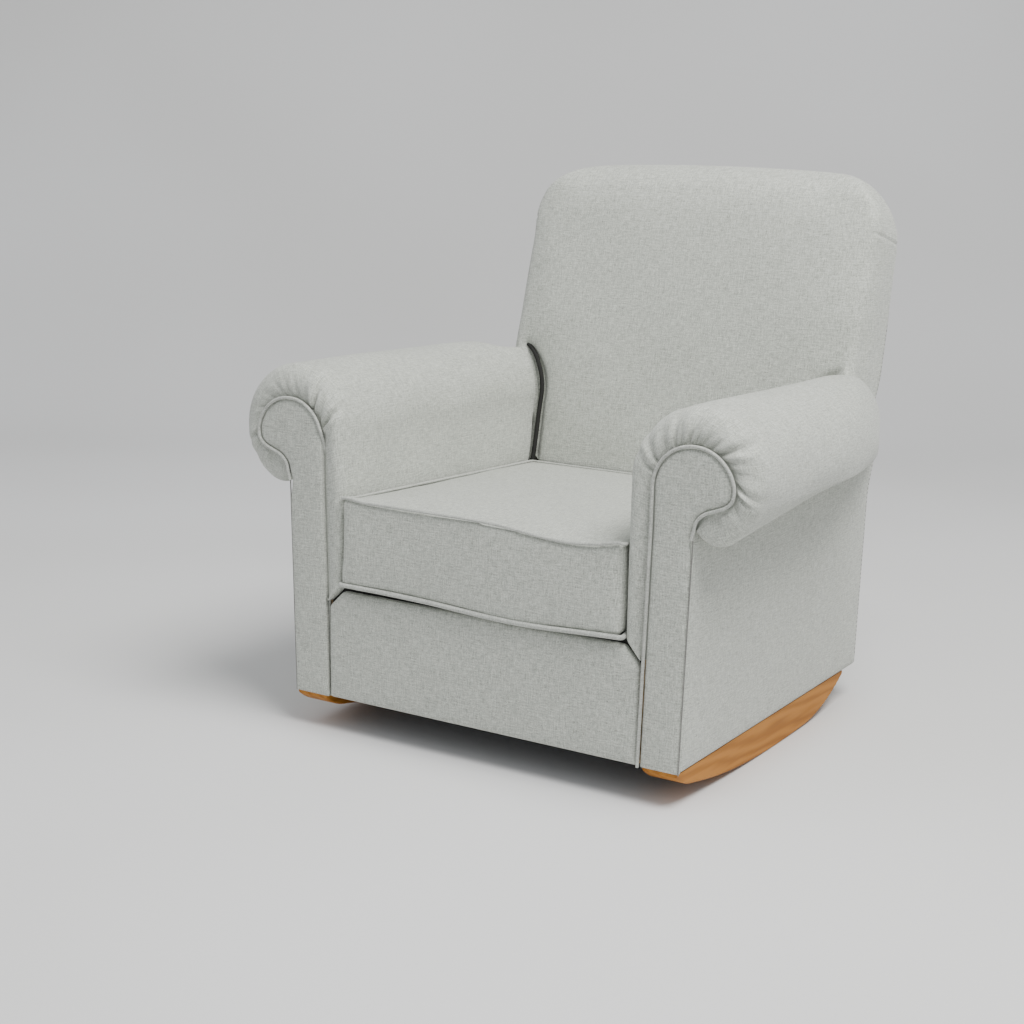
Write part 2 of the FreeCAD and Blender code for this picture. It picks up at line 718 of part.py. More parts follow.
stile_inner = stile_outer - size("stile_wide")
for name, height in (("back_top_rail", size("stile_top")), ("back_lumbar_rail", size("lumbar_z")),
                     ("back_bottom_rail", size("back_bottom_z") + size("bottom_rail_lift"))):
    outline = rectangle(-stile_inner, up_back(height) - size("back_rail_high"), stile_inner,
                        up_back(height))
    rail = board(name, "XZ_Plane", outline, -(stile_front + size("rail_thick")),
                 size("rail_thick"))
    lean_back(rail)


webbing = []
web_low = up_back(size("back_bottom_z") + size("web_lift")).number
web_high = up_back(size("stile_top")).number
for number in range(SIZES["web_count"]):
    x = (number - (SIZES["web_count"] - 1) / 2) * SIZES["web_pitch"]
    webbing.append(Part.makeBox(SIZES["web_wide"], SIZES["web_thick"], web_high - web_low,
                                Vector(x - SIZES["web_wide"] / 2,
                                       SIZES["back_pad_thick"] + SIZES["web_gap"], web_low)))
lean_back(group("back_webbing", webbing))

side_inner = half - size("side_border_thick") - size("back_inner_gap")
side_gap = size("side_border_gap")
side_profile = [
    (stile_front, shoulder), (size("rear_low_deep") - side_gap, shoulder),
    (size("rear_wide_deep") - side_gap, up_back(size("rear_wide_z"))),
    (size("rear_high_deep") - side_gap, top - corner), (stile_front, top - corner),
]
for side_name, side in SIDES:
    middle_x = (side_inner + size("side_border_thick") * 0.5) * side
    border_piece = board(f"back_side_{side_name}", "YZ_Plane", side_profile, middle_x,
                         size("side_border_thick"), middle=True)
    lean_back(border_piece)

top_border_low = up_back(size("stile_top")) + 1
top_profile = [
    (stile_front, top_border_low),
    (size("rear_high_deep") - size("top_border_low_gap"), top_border_low),
    (size("rear_high_deep") - size("top_border_high_gap"), top - size("top_border_rear_drop")),
    (stile_front, top - size("top_border_front_drop")),
]
top_border = board("back_top_border", "YZ_Plane", top_profile, measure(0),
                   (half - corner) * 2 + corner, middle=True)
lean_back(top_border)

cloth = size("outside_back_thick")
rear_line = [
    (size("base_rear"), size("base_bottom")), (size("base_rear"), size("rear_kink_z")),
    (size("rear_throat_y"), size("throat_z") + 8), (size("rear_arm_y"), size("rear_arm_z")),
    (size("rear_bulge_y"), size("rear_bulge_z")), (size("rear_top_y"), size("rear_top_z")),
]
body = new_body("outside_back")
inner_line = [(y - cloth, z) for y, z in reversed(rear_line)]
pad(body, draw(body, "outside_back_upper", "YZ_Plane", rear_line + inner_line, measure(0)),
    (half - size("rear_panel_inset")) * 2, middle=True)
pad(body, draw(body, "outside_back_lower", "YZ_Plane", rear_line[:3] + inner_line[-3:],
               measure(0)), size("base_half") * 2, middle=True)
keep(body, "outside_back")


# ---------------------------------------------------------------- deck support and underside

board("deck_rear_rail", "YZ_Plane",
      rectangle(size("deck_rail_y"), size("deck_rail_low"),
                size("deck_rail_y") + size("rail_thick"), size("deck_rail_top")),
      measure(0), (post_inner - 0.3) * 2, middle=True)

for number in range(SIZES["spring_count"]):
    x = (number - (SIZES["spring_count"] - 1) / 2) * SIZES["spring_pitch"]
    front_clip_y = front_rail_back.number - SIZES["clip_front_lap"]
    front_clip_z = rail_low.number + SIZES["front_rail_high"]
    for y, z in ((front_clip_y, front_clip_z),
                 (SIZES["deck_rail_y"] + SIZES["clip_rear_lap"], SIZES["deck_rail_top"])):
        clips.append(Part.makeBox(SIZES["clip_wide"], SIZES["clip_long"], SIZES["clip_thick"],
                                  Vector(x - SIZES["clip_wide"] / 2, y, z)))
group("spring_clips", clips)

dust_half = size("rocker_outer") - size("rocker_wide") - size("dust_gap")
board("dust_cover", "XY_Plane",
      rectangle(-dust_half, rail_front, dust_half, size("base_rear") - cloth - size("dust_gap")),
      rail_low - size("dust_thick"), size("dust_thick"))


# ---------------------------------------------------------------- seat cushion

def cushion_block(name, inset, corner_radius, edge_radius):
    """The boxed cushion's form, drawn in by an inset: a box whose rear leans with the back."""
    front = inset - size("cushion_front")
    low = size("cushion_bottom") + inset
    high = size("cushion_bottom") + size("cushion_high") - inset
    outline = [(front, low), (size("cushion_rear_low") - inset, low),
               (size("cushion_rear_high") - inset, high), (front, high)]
    body = new_body(name)
    pad(body, draw(body, name + "_outline", "YZ_Plane", outline, measure(0)),
        (size("cushion_half") - inset) * 2, middle=True)
    middle_z = SIZES["cushion_bottom"] + SIZES["cushion_high"] / 2
    round_edges(body, lambda edge: edge.BoundBox.ZMin < middle_z < edge.BoundBox.ZMax,
                corner_radius, name + "_corners")
    round_edges(body, lambda edge: edge.BoundBox.ZLength < 0.5, edge_radius, name + "_edges")
    return body


# The cover is cloth lined with wadding, so the foam core is smaller by the wrap all round.
core = keep(cushion_block("cushion_core", size("cushion_wrap"), size("core_corner"),
                          size("core_round")), "cushion_core")
form = cushion_block("cushion_form", measure(0), size("cushion_corner"), size("cushion_round"))
cover = doc.addObject("Part::Cut", "cushion_cover")
cover.Base = form
cover.Tool = core
doc.recompute()
keep(cover, "cushion_cover")


def cushion_welt(name, z, rear):
    """A piped loop round the cushion: four straights and four round corners."""
    stand = SIZES["welt_stand"]
    half_x = SIZES["cushion_half"] + stand
    front = -SIZES["cushion_front"] - stand
    back = rear + stand
    round_off = SIZES["cushion_corner"] + stand
    loop = Part.makePolygon([Vector(-half_x, front, z), Vector(half_x, front, z),
                             Vector(half_x, back, z), Vector(-half_x, back, z),
                             Vector(-half_x, front, z)])
    edges = []
    corners = [vertex.Point for vertex in loop.OrderedVertexes]
    for index, here in enumerate(corners):
        before = corners[index - 1]
        after = corners[(index + 1) % len(corners)]
        inward = (before - here).normalize() + (after - here).normalize()
        start = here + (before - here).normalize() * round_off
        end = here + (after - here).normalize() * round_off
        centre = here + inward * round_off
        middle = centre - (inward * (1 / math.sqrt(2))) * round_off
        edges.append(Part.Arc(start, middle, end).toShape())
        next_start = after + (here - after).normalize() * round_off
        edges.append(Part.makeLine(end, next_start))
    welt = doc.addObject("Part::Feature", name)
    welt.Shape = pipe(Part.Wire(Part.__sortEdges__(edges)), SIZES["cushion_welt"])
    return keep(welt, name)


cushion_top = SIZES["cushion_bottom"] + SIZES["cushion_high"]
welt_top = cushion_welt("cushion_welt_top", cushion_top + SIZES["welt_stand"],
                        SIZES["cushion_rear_high"])
welt_low = cushion_welt("cushion_welt_bottom", SIZES["cushion_bottom"] - SIZES["welt_stand"],
                        SIZES["cushion_rear_low"] + SIZES["welt_rear_ease"])

zip_run = SIZES["cushion_rear_high"] - SIZES["cushion_rear_low"]
zip_low = 0.42
zip_high = 0.52
zip_near = 0.2
zip_far = 1.8
zip_outline = []
for share, depth in ((zip_low, zip_near), (zip_high, zip_near), (zip_high, zip_far),
                     (zip_low, zip_far)):
    zip_outline.append((size("cushion_rear_low") + zip_run * share + depth,
                        size("cushion_bottom") + SIZES["cushion_high"] * share))
zip_tape = board("cushion_zip", "YZ_Plane", zip_outline, measure(0), size("zip_long"),
                 middle=True)

for piece in (core, form, welt_top, welt_low, zip_tape):
    pitch(piece)


# ---------------------------------------------------------------- checks and files

doc.recompute()
for thing in doc.Objects:
    if "Invalid" in thing.State or "Error" in thing.State:
        raise ValueError(f"{thing.Label} failed: {thing.State}")
os.makedirs("parts", exist_ok=True)
low = Vector(1e9, 1e9, 1e9)
high = Vector(-1e9, -1e9, -1e9)
for thing in nodes:
    shape = thing.Shape
    if shape.isNull() or not shape.isValid() or not shape.Solids:
        raise ValueError(f"{thing.Label} is not a valid solid")
    shape.exportStep(f"parts/{thing.Label}.step")
    box = shape.BoundBox
    low = Vector(min(low.x, box.XMin), min(low.y, box.YMin), min(low.z, box.ZMin))
    high = Vector(max(high.x, box.XMax), max(high.y, box.YMax), max(high.z, box.ZMax))
    print(f"{thing.Label:26s} solids {len(shape.Solids):2d}  volume {shape.Volume / 1000:10.1f} cm3")
print(len(nodes), "nodes; box", [round(value, 1) for value in (*low, *high)])
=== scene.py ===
# %% [markdown]
# # An upholstered rocking chair
# The chair has a hardwood frame, two rolled arms that end in a scroll, a leaning padded back,
# a loose boxed seat cushion and two wooden rockers. The engineering model is loaded first as
# a fixed frame: it says where every piece sits. This notebook makes what the eye sees: cloth,
# padding, gathers, welts, stitches and wood grain.

# %% Load the fixed frame
import json
import math

import bmesh
import bpy
import numpy as np
from mathutils import Matrix, Vector
from mathutils.kdtree import KDTree


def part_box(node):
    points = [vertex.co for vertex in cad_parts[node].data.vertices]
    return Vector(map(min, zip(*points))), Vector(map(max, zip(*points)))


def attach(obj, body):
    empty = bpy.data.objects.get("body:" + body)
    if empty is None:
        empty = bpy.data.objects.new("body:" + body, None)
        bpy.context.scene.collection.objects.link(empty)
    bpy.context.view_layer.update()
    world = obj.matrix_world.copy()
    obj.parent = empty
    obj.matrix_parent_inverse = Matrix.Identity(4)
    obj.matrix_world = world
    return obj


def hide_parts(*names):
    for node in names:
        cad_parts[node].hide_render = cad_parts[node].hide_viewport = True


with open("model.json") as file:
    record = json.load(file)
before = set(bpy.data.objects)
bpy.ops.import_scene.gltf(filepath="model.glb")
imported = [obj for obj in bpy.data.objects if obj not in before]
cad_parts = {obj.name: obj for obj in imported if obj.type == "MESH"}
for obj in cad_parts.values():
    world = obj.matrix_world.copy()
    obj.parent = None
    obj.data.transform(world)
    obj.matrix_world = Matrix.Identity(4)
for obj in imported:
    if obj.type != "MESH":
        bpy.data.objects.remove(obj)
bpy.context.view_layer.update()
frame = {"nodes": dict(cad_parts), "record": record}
scene = bpy.context.scene

SIDES = (("left", -1.0), ("right", 1.0))
CHAIR = "chair"
CUSHION = "seat_cushion"

# %% [markdown]
# ## Camera, floor and light
# The camera stands to the right of the chair's front at a little over seat height, with a long
# lens, so upright edges stay nearly parallel. Floor and wall are one pale sheet with a large
# bend, as in a studio, which leaves no horizon line. One big soft light stands high on the
# right, a weak one fills from the left, and the sky light keeps the shadows open.

# %% Camera
AZIMUTH = math.radians(32.1666)
ELEVATION = math.radians(12.3556)
ROLL = math.radians(-0.9126)
ahead = Vector((-math.sin(AZIMUTH) * math.cos(ELEVATION),
                math.cos(AZIMUTH) * math.cos(ELEVATION), -math.sin(ELEVATION)))
level = Vector((math.cos(AZIMUTH), math.sin(AZIMUTH), 0.0))
downward = ahead.cross(level)
image_right = math.cos(ROLL) * level + math.sin(ROLL) * downward
image_up = math.sin(ROLL) * level - math.cos(ROLL) * downward
camera_data = bpy.data.cameras.new("camera")
camera_data.sensor_width = 36.0
camera_data.lens = 63.78
camera = bpy.data.objects.new("camera", camera_data)
turn = Matrix((image_right, image_up, -ahead)).transposed().to_4x4()
camera.matrix_world = Matrix.Translation((1.5813, -2.8298, 1.0662)) @ turn
scene.collection.objects.link(camera)
scene.camera = camera
print("camera at", tuple(round(value, 3) for value in camera.location))


# %% Helpers for materials
def new_material(name):
    """An empty material with its output and shader, ready for nodes."""
    material = bpy.data.materials.new(name)
    material.use_nodes = True
    tree = material.node_tree
    tree.nodes.clear()
    output = tree.nodes.new("ShaderNodeOutputMaterial")
    shader = tree.nodes.new("ShaderNodeBsdfPrincipled")
    tree.links.new(shader.outputs[0], output.inputs[0])
    return material, tree, shader


def node(tree, kind, links=(), **values):
    """Add a node, set named properties or inputs, and link (input, socket) pairs."""
    made = tree.nodes.new(kind)
    for key, value in values.items():
        if key.startswith("in_"):
            made.inputs[int(key[3:])].default_value = value
        else:
            setattr(made, key, value)
    for place, socket in links:
        tree.links.new(socket, made.inputs[place])
    return made


def math_node(tree, operation, first, second=0.0, third=None):
    """One sum on sockets or plain numbers."""
    made = tree.nodes.new("ShaderNodeMath")
    made.operation = operation
    for place, value in enumerate((first, second, third)):
        if value is None:
            continue
        if isinstance(value, (int, float)):
            made.inputs[place].default_value = value
        else:
            tree.links.new(value, made.inputs[place])
    return made.outputs[0]


def ramp(tree, socket, stops):
    """Turn a number into a colour through (place, colour) stops."""
    made = tree.nodes.new("ShaderNodeValToRGB")
    tree.links.new(socket, made.inputs[0])
    band = made.color_ramp
    while len(band.elements) < len(stops):
        band.elements.new(0.5)
    for element, (place, colour) in zip(band.elements, stops):
        element.position = place
        element.color = (*colour, 1.0)
    return made.outputs[0]


# %% Floor and light
def studio():
    """Pale seamless backdrop, sky light and two area lights."""
    floor_y = (-6.0, 2.6)
    bend = 1.6
    profile = [(floor_y[0], 0.0), (floor_y[1], 0.0)]
    for step in range(1, 17):
        angle = math.radians(90.0 * step / 16)
        profile.append((floor_y[1] + bend * math.sin(angle), bend * (1 - math.cos(angle))))
    profile.append((floor_y[1] + bend, 7.0))
    mesh = bpy.data.meshes.new("backdrop")
    half = 9.0
    turned = math.radians(32.0)
    verts = []
    for y, z in profile:
        for x in (-half, half):
            verts.append((x * math.cos(turned) - y * math.sin(turned),
                          x * math.sin(turned) + y * math.cos(turned), z))
    faces = [(2 * i, 2 * i + 1, 2 * i + 3, 2 * i + 2) for i in range(len(profile) - 1)]
    mesh.from_pydata(verts, [], faces)
    for face in mesh.polygons:
        face.use_smooth = True
    backdrop = bpy.data.objects.new("backdrop", mesh)
    scene.collection.objects.link(backdrop)
    material, tree, shader = new_material("backdrop_paint")
    place = node(tree, "ShaderNodeTexCoord")
    cloud = node(tree, "ShaderNodeTexNoise", [("Vector", place.outputs["Object"])])
    cloud.inputs["Scale"].default_value = 0.45
    cloud.inputs["Detail"].default_value = 2.0
    tint = ramp(tree, cloud.outputs[0], [(0.3, (0.64, 0.635, 0.62)), (0.7, (0.74, 0.74, 0.74))])
    tree.links.new(tint, shader.inputs["Base Color"])
    shader.inputs["Roughness"].default_value = 0.75
    mesh.materials.append(material)

    world = bpy.data.worlds.new("studio_sky")
    world.use_nodes = True
    world.node_tree.nodes["Background"].inputs[0].default_value = (0.93, 0.96, 1.0, 1.0)
    world.node_tree.nodes["Background"].inputs[1].default_value = 0.62
    scene.world = world
    for name, spot, aim, size, power, colour in (
            ("key_light", (1.7, -0.75, 3.8), (0.0, 0.0, 0.4), 2.0, 235.0, (1.0, 0.99, 0.97)),
            ("fill_light", (-3.0, -2.6, 2.8), (0.0, 0.0, 0.4), 3.0, 26.0, (1.0, 1.0, 1.0))):
        lamp = bpy.data.lights.new(name, "AREA")
        lamp.size = size
        lamp.energy = power
        lamp.color = colour
        holder = bpy.data.objects.new(name, lamp)
        direction = Vector(aim) - Vector(spot)
        holder.matrix_world = (Matrix.Translation(spot)
                               @ direction.to_track_quat("-Z", "Y").to_matrix().to_4x4())
        scene.collection.objects.link(holder)


studio()

# %% [markdown]
# ## The cloth
# The cover is a plain basket-weave cloth in a warm light grey. Seen close it is a grid of
# yarns that pass over and under each other, each yarn a little thicker, paler or darker along
# its length. A picture of cloth would repeat, so the weave is worked out: two families of
# yarns from the piece's own UV map in metres, a mask for which of them lies on top, slubs from
# noise stretched along each yarn, and a wide soft mottling. The same height drives the bump.

# %% Cloth material
YARN = 0.0021


def cloth_material(name, light, dark, sheen=0.25, bump=0.55):
    """Basket-weave cloth on a UV map in metres."""
    material, tree, shader = new_material(name)
    uv = node(tree, "ShaderNodeUVMap", uv_map="UVMap")
    split = node(tree, "ShaderNodeSeparateXYZ", [(0, uv.outputs[0])])
    wobble = node(tree, "ShaderNodeTexNoise", [("Vector", uv.outputs[0])])
    wobble.inputs["Scale"].default_value = 90.0
    wobble.inputs["Detail"].default_value = 2.0
    shift = math_node(tree, "MULTIPLY_ADD", wobble.outputs[0], 0.0016, -0.0008)
    across = math_node(tree, "ADD", split.outputs[0], shift)
    along = math_node(tree, "SUBTRACT", split.outputs[1], shift)
    u = math_node(tree, "DIVIDE", across, YARN)
    v = math_node(tree, "DIVIDE", along, YARN)
    wave_u = math_node(tree, "SINE", math_node(tree, "MULTIPLY", u, math.pi))
    wave_v = math_node(tree, "SINE", math_node(tree, "MULTIPLY", v, math.pi))
    over = math_node(tree, "MULTIPLY_ADD", math_node(tree, "MULTIPLY", wave_u, wave_v), 1.6, 0.5)
    over_clear = node(tree, "ShaderNodeClamp", [(0, over)]).outputs[0]
    slubs = []
    for stretch in ((1 / YARN, 38.0, 1.0), (38.0, 1 / YARN, 1.0)):
        scaled = node(tree, "ShaderNodeVectorMath", [(0, uv.outputs[0])], operation="MULTIPLY",
                      in_1=stretch)
        noise = node(tree, "ShaderNodeTexNoise", [("Vector", scaled.outputs[0])])
        noise.inputs["Scale"].default_value = 1.0
        noise.inputs["Detail"].default_value = 3.0
        slubs.append(noise.outputs[0])
    yarn = node(tree, "ShaderNodeMix", [(0, over_clear), (2, slubs[0]), (3, slubs[1])])
    ridge_u = math_node(tree, "ABSOLUTE", wave_u)
    ridge_v = math_node(tree, "ABSOLUTE", wave_v)
    ridge = node(tree, "ShaderNodeMix", [(0, over_clear), (2, ridge_u), (3, ridge_v)])
    mottle = node(tree, "ShaderNodeTexNoise", [("Vector", uv.outputs[0])])
    mottle.inputs["Scale"].default_value = 14.0
    mottle.inputs["Detail"].default_value = 4.0
    tone = math_node(tree, "MULTIPLY_ADD", ridge.outputs[0], 0.32, -0.10)
    tone = math_node(tree, "MULTIPLY_ADD", yarn.outputs[0], 0.85, tone)
    tone = math_node(tree, "MULTIPLY_ADD", mottle.outputs[0], 0.10, tone)
    cells = node(tree, "ShaderNodeTexNoise", [("Vector", uv.outputs[0])])
    cells.inputs["Scale"].default_value = 1 / (1.15 * YARN)
    cells.inputs["Detail"].default_value = 1.0
    tone = math_node(tree, "MULTIPLY_ADD", cells.outputs[0], 0.55, tone)
    for stretch in ((1 / (1.3 * YARN), 90.0, 1.0), (90.0, 1 / (1.3 * YARN), 1.0)):
        scaled = node(tree, "ShaderNodeVectorMath", [(0, uv.outputs[0])], operation="MULTIPLY",
                      in_1=stretch)
        band = node(tree, "ShaderNodeTexNoise", [("Vector", scaled.outputs[0])])
        band.inputs["Scale"].default_value = 1.0
        band.inputs["Detail"].default_value = 1.0
        tone = math_node(tree, "MULTIPLY_ADD", band.outputs[0], 0.36, tone)
    tone = math_node(tree, "SUBTRACT", tone, 0.57)
    colour = ramp(tree, tone, [(0.30, dark), (0.92, light)])
    tree.links.new(colour, shader.inputs["Base Color"])
    height = math_node(tree, "MULTIPLY_ADD", yarn.outputs[0], 0.6, ridge.outputs[0])
    relief = node(tree, "ShaderNodeBump", [("Height", height)])
    relief.inputs["Strength"].default_value = bump
    relief.inputs["Distance"].default_value = 0.0006
    tree.links.new(relief.outputs[0], shader.inputs["Normal"])
    rough = math_node(tree, "MULTIPLY_ADD", slubs[0], 0.15, 0.78)
    tree.links.new(rough, shader.inputs["Roughness"])
    shader.inputs["Sheen Weight"].default_value = sheen
    shader.inputs["Sheen Roughness"].default_value = 0.45
    shader.inputs["Specular IOR Level"].default_value = 0.25
    return material


cloth = cloth_material("grey_basket_cloth", (0.640, 0.662, 0.600), (0.228, 0.238, 0.208))
piping_cloth = cloth_material("grey_bias_piping", (0.585, 0.60, 0.555), (0.25, 0.258, 0.232))
# Dark thread finish: real thread colour for the hand stitches, and painted seam shadow where it lies
# along a sunken seam.
thread_and_seam_shadow = cloth_material("seam_shadow_thread", (0.26, 0.26, 0.24), (0.13, 0.13, 0.12), bump=0.2)
# Near-black finish that is painted shadow, for the gaps between arm and back and under the cushion where
# no light reaches.
painted_gap_shadow = cloth_material("tucked_cloth_in_shadow", (0.022, 0.022, 0.020), (0.012, 0.012, 0.011),
                             sheen=0.0, bump=0.1)
print("cloth materials", cloth.name, piping_cloth.name)

# %% [markdown]
# ## Wood, foam, steel and dust cloth
# The rockers are stained hardwood under satin lacquer. Grain is growth rings cut lengthways:
# rings stretched far along Y and bent by slow noise, with fine dark pores. The hidden frame is
# raw sawn timber, so it is paler and rough. These finishes read Object coordinates, because
# the pieces are solid blocks that keep the grain running through them.


# %% Wood and the hidden materials
def wood_material(name, pale, middle, deep, roughness, coat, ring_scale):
    """Straight-grained timber, with the grain along Y."""
    material, tree, shader = new_material(name)
    place = node(tree, "ShaderNodeTexCoord")
    stretched = node(tree, "ShaderNodeMapping", [("Vector", place.outputs["Object"])])
    stretched.inputs["Scale"].default_value = (1.0, 0.10, 1.0)
    drift = node(tree, "ShaderNodeTexNoise", [("Vector", stretched.outputs[0])])
    drift.inputs["Scale"].default_value = 9.0
    drift.inputs["Detail"].default_value = 3.0
    rings = node(tree, "ShaderNodeTexWave", [("Vector", stretched.outputs[0])],
                 wave_type="BANDS", bands_direction="DIAGONAL")
    rings.inputs["Scale"].default_value = ring_scale
    rings.inputs["Distortion"].default_value = 7.0
    rings.inputs["Detail"].default_value = 3.0
    rings.inputs["Detail Scale"].default_value = 1.2
    fine = node(tree, "ShaderNodeMapping", [("Vector", place.outputs["Object"])])
    fine.inputs["Scale"].default_value = (1.0, 0.03, 1.0)
    pores = node(tree, "ShaderNodeTexNoise", [("Vector", fine.outputs[0])])
    pores.inputs["Scale"].default_value = 420.0
    pores.inputs["Detail"].default_value = 2.0
    grain = math_node(tree, "MULTIPLY_ADD", rings.outputs[1], 0.45,
                      math_node(tree, "MULTIPLY", drift.outputs[0], 0.45))
    grain = math_node(tree, "MULTIPLY_ADD", pores.outputs[0], 0.30, grain)
    colour = ramp(tree, grain, [(0.22, deep), (0.52, middle), (0.85, pale)])
    tree.links.new(colour, shader.inputs["Base Color"])
    relief = node(tree, "ShaderNodeBump", [("Height", pores.outputs[0])])
    relief.inputs["Strength"].default_value = 0.12
    relief.inputs["Distance"].default_value = 0.0004
    tree.links.new(relief.outputs[0], shader.inputs["Normal"])
    gloss = math_node(tree, "MULTIPLY_ADD", pores.outputs[0], 0.18, roughness)
    tree.links.new(gloss, shader.inputs["Roughness"])
    shader.inputs["Specular IOR Level"].default_value = 0.22
    shader.inputs["Coat Weight"].default_value = coat
    shader.inputs["Coat Roughness"].default_value = 0.28
    return material


def speckled_material(name, light, dark, scale, roughness, metallic=0.0, bump=0.1):
    """A plain finish with fine speckle, for foam, steel, webbing and dust cloth."""
    material, tree, shader = new_material(name)
    place = node(tree, "ShaderNodeTexCoord")
    speck = node(tree, "ShaderNodeTexNoise", [("Vector", place.outputs["Object"])])
    speck.inputs["Scale"].default_value = scale
    speck.inputs["Detail"].default_value = 3.0
    tree.links.new(ramp(tree, speck.outputs[0], [(0.35, dark), (0.65, light)]),
                   shader.inputs["Base Color"])
    relief = node(tree, "ShaderNodeBump", [("Height", speck.outputs[0])])
    relief.inputs["Strength"].default_value = bump
    relief.inputs["Distance"].default_value = 0.0005
    tree.links.new(relief.outputs[0], shader.inputs["Normal"])
    shader.inputs["Roughness"].default_value = roughness
    shader.inputs["Metallic"].default_value = metallic
    return material


rocker_wood = wood_material("honey_stained_rocker_wood", (0.43, 0.180, 0.030),
                            (0.345, 0.135, 0.018), (0.23, 0.084, 0.010), 0.50, 0.03, 26.0)
frame_wood = wood_material("raw_frame_timber", (0.60, 0.44, 0.27), (0.50, 0.35, 0.20),
                           (0.36, 0.24, 0.13), 0.72, 0.0, 18.0)
hidden_finish = {
    "foam": speckled_material("cream_seat_foam", (0.80, 0.74, 0.52), (0.66, 0.60, 0.42), 500, 0.9),
    "spring_steel": speckled_material("zinc_plated_steel", (0.55, 0.55, 0.56),
                                      (0.38, 0.38, 0.40), 240, 0.34, metallic=1.0),
    "webbing": speckled_material("elastic_webbing", (0.20, 0.17, 0.13), (0.10, 0.08, 0.06),
                                 700, 0.85),
    "dust_cloth": speckled_material("black_dust_cloth", (0.035, 0.035, 0.035),
                                    (0.018, 0.018, 0.018), 600, 0.92),
    "zip_tape": speckled_material("zip_tape_cloth", (0.42, 0.41, 0.38), (0.30, 0.29, 0.27),
                                  900, 0.8),
    "frame_wood": frame_wood,
    "rocker_wood": rocker_wood,
}
slot_of = {entry["node"]: entry["material_slot"] for entry in frame["record"]["subparts"]}
platform_cloth = speckled_material("platform_lining_cloth", (0.42, 0.43, 0.40),
                                   (0.31, 0.32, 0.295), 900, 0.92)
for name, part in frame["nodes"].items():
    finish = platform_cloth if name == "deck_pad" else hidden_finish.get(slot_of[name])
    if finish is None:
        continue
    part.data.materials.clear()
    part.data.materials.append(finish)
print("hidden finishes set on", sum(slot in hidden_finish for slot in slot_of.values()), "nodes")

# %% [markdown]
# ## Helpers for shapes
# Most covers here are grids: one direction follows the section of the padding and the other
# runs along the arm or back, so a function can say where each point lies. Flat panels start as
# an outline that is given a thickness, remeshed into even small faces and puffed. Every piece
# gets a UV map in metres, so that the weave keeps its size everywhere.


# %% Shape helpers
def add_object(name, mesh, finish, body, smooth=True):
    """Put a mesh in the scene with its finish, slot and body."""
    mesh.materials.clear()
    mesh.materials.append(finish)
    if smooth:
        for face in mesh.polygons:
            face.use_smooth = True
    piece = bpy.data.objects.new(name, mesh)
    scene.collection.objects.link(piece)
    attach(piece, body)
    return piece


def points_of(mesh):
    coords = np.empty(len(mesh.vertices) * 3)
    mesh.vertices.foreach_get("co", coords)
    return coords.reshape(-1, 3)


def vertex_normals(mesh):
    values = np.empty(len(mesh.vertices) * 3)
    mesh.vertices.foreach_get("normal", values)
    return values.reshape(-1, 3)


def set_points(mesh, coords):
    mesh.vertices.foreach_set("co", np.ascontiguousarray(coords, dtype=np.float32).ravel())
    mesh.update()


def box_uv(mesh):
    """UV in metres, each face seen along the axis that it faces most."""
    layer = mesh.uv_layers.get("UVMap") or mesh.uv_layers.new(name="UVMap")
    coords = points_of(mesh)
    normals = np.empty(len(mesh.polygons) * 3)
    mesh.polygons.foreach_get("normal", normals)
    axis = np.abs(normals.reshape(-1, 3)).argmax(axis=1)
    loops = np.empty(len(mesh.loops), dtype=np.int64)
    mesh.loops.foreach_get("vertex_index", loops)
    totals = np.empty(len(mesh.polygons), dtype=np.int64)
    mesh.polygons.foreach_get("loop_total", totals)
    axis = np.repeat(axis, totals)
    here = coords[loops]
    first = np.where(axis == 0, here[:, 1], here[:, 0])
    second = np.where(axis == 2, here[:, 1], here[:, 2])
    layer.data.foreach_set("uv", np.stack([first, second], axis=1).astype(np.float32).ravel())


def finished_mesh(name, made):
    """Turn a built shape into a mesh whose faces all point outwards."""
    bmesh.ops.recalc_face_normals(made, faces=made.faces)
    mesh = bpy.data.meshes.new(name)
    made.to_mesh(mesh)
    made.free()
    return mesh


def ring_mesh(name, rings):
    """A closed mesh through rings of points, with a flat cap at each end."""
    made = bmesh.new()
    rows = [[made.verts.new(spot) for spot in ring] for ring in rings]
    count = len(rows[0])
    for low, high in zip(rows, rows[1:]):
        for i in range(count):
            k = (i + 1) % count
            made.faces.new([low[i], low[k], high[k], high[i]])
    made.faces.new(list(reversed(rows[0])))
    made.faces.new(rows[-1])
    return finished_mesh(name, made)


def grid_mesh(name, points, uv, close_rows=False, caps=False):
    """A mesh from a grid of points (rows x columns); rows may close on themselves."""
    rows, columns = points.shape[:2]
    made = bmesh.new()
    verts = [[made.verts.new(points[i, j]) for j in range(columns)] for i in range(rows)]
    layer = made.loops.layers.uv.new("UVMap")
    last = rows if close_rows else rows - 1
    for i in range(last):
        following = (i + 1) % rows
        for j in range(columns - 1):
            corners = ((i, j), (following, j), (following, j + 1), (i, j + 1))
            face = made.faces.new([verts[a][b] for a, b in corners])
            for loop, (a, b) in zip(face.loops, corners):
                loop[layer].uv = uv[a, b] if a >= i else (uv[i, b][0], uv[i, b][1] + 0.004)
    if caps:
        for j in (0, columns - 1):
            ring = [verts[i][j] for i in range(rows)]
            edges = [made.edges.get((ring[i], ring[(i + 1) % rows])) for i in range(rows)]
            bmesh.ops.triangle_fill(made, edges=edges, use_beauty=True)
    return finished_mesh(name, made)


def evaluated_mesh(piece):
    """The plain mesh of an object with its modifiers, which are then removed."""
    bpy.context.view_layer.update()
    graph = bpy.context.evaluated_depsgraph_get()
    mesh = bpy.data.meshes.new_from_object(piece.evaluated_get(graph), depsgraph=graph)
    piece.modifiers.clear()
    return mesh


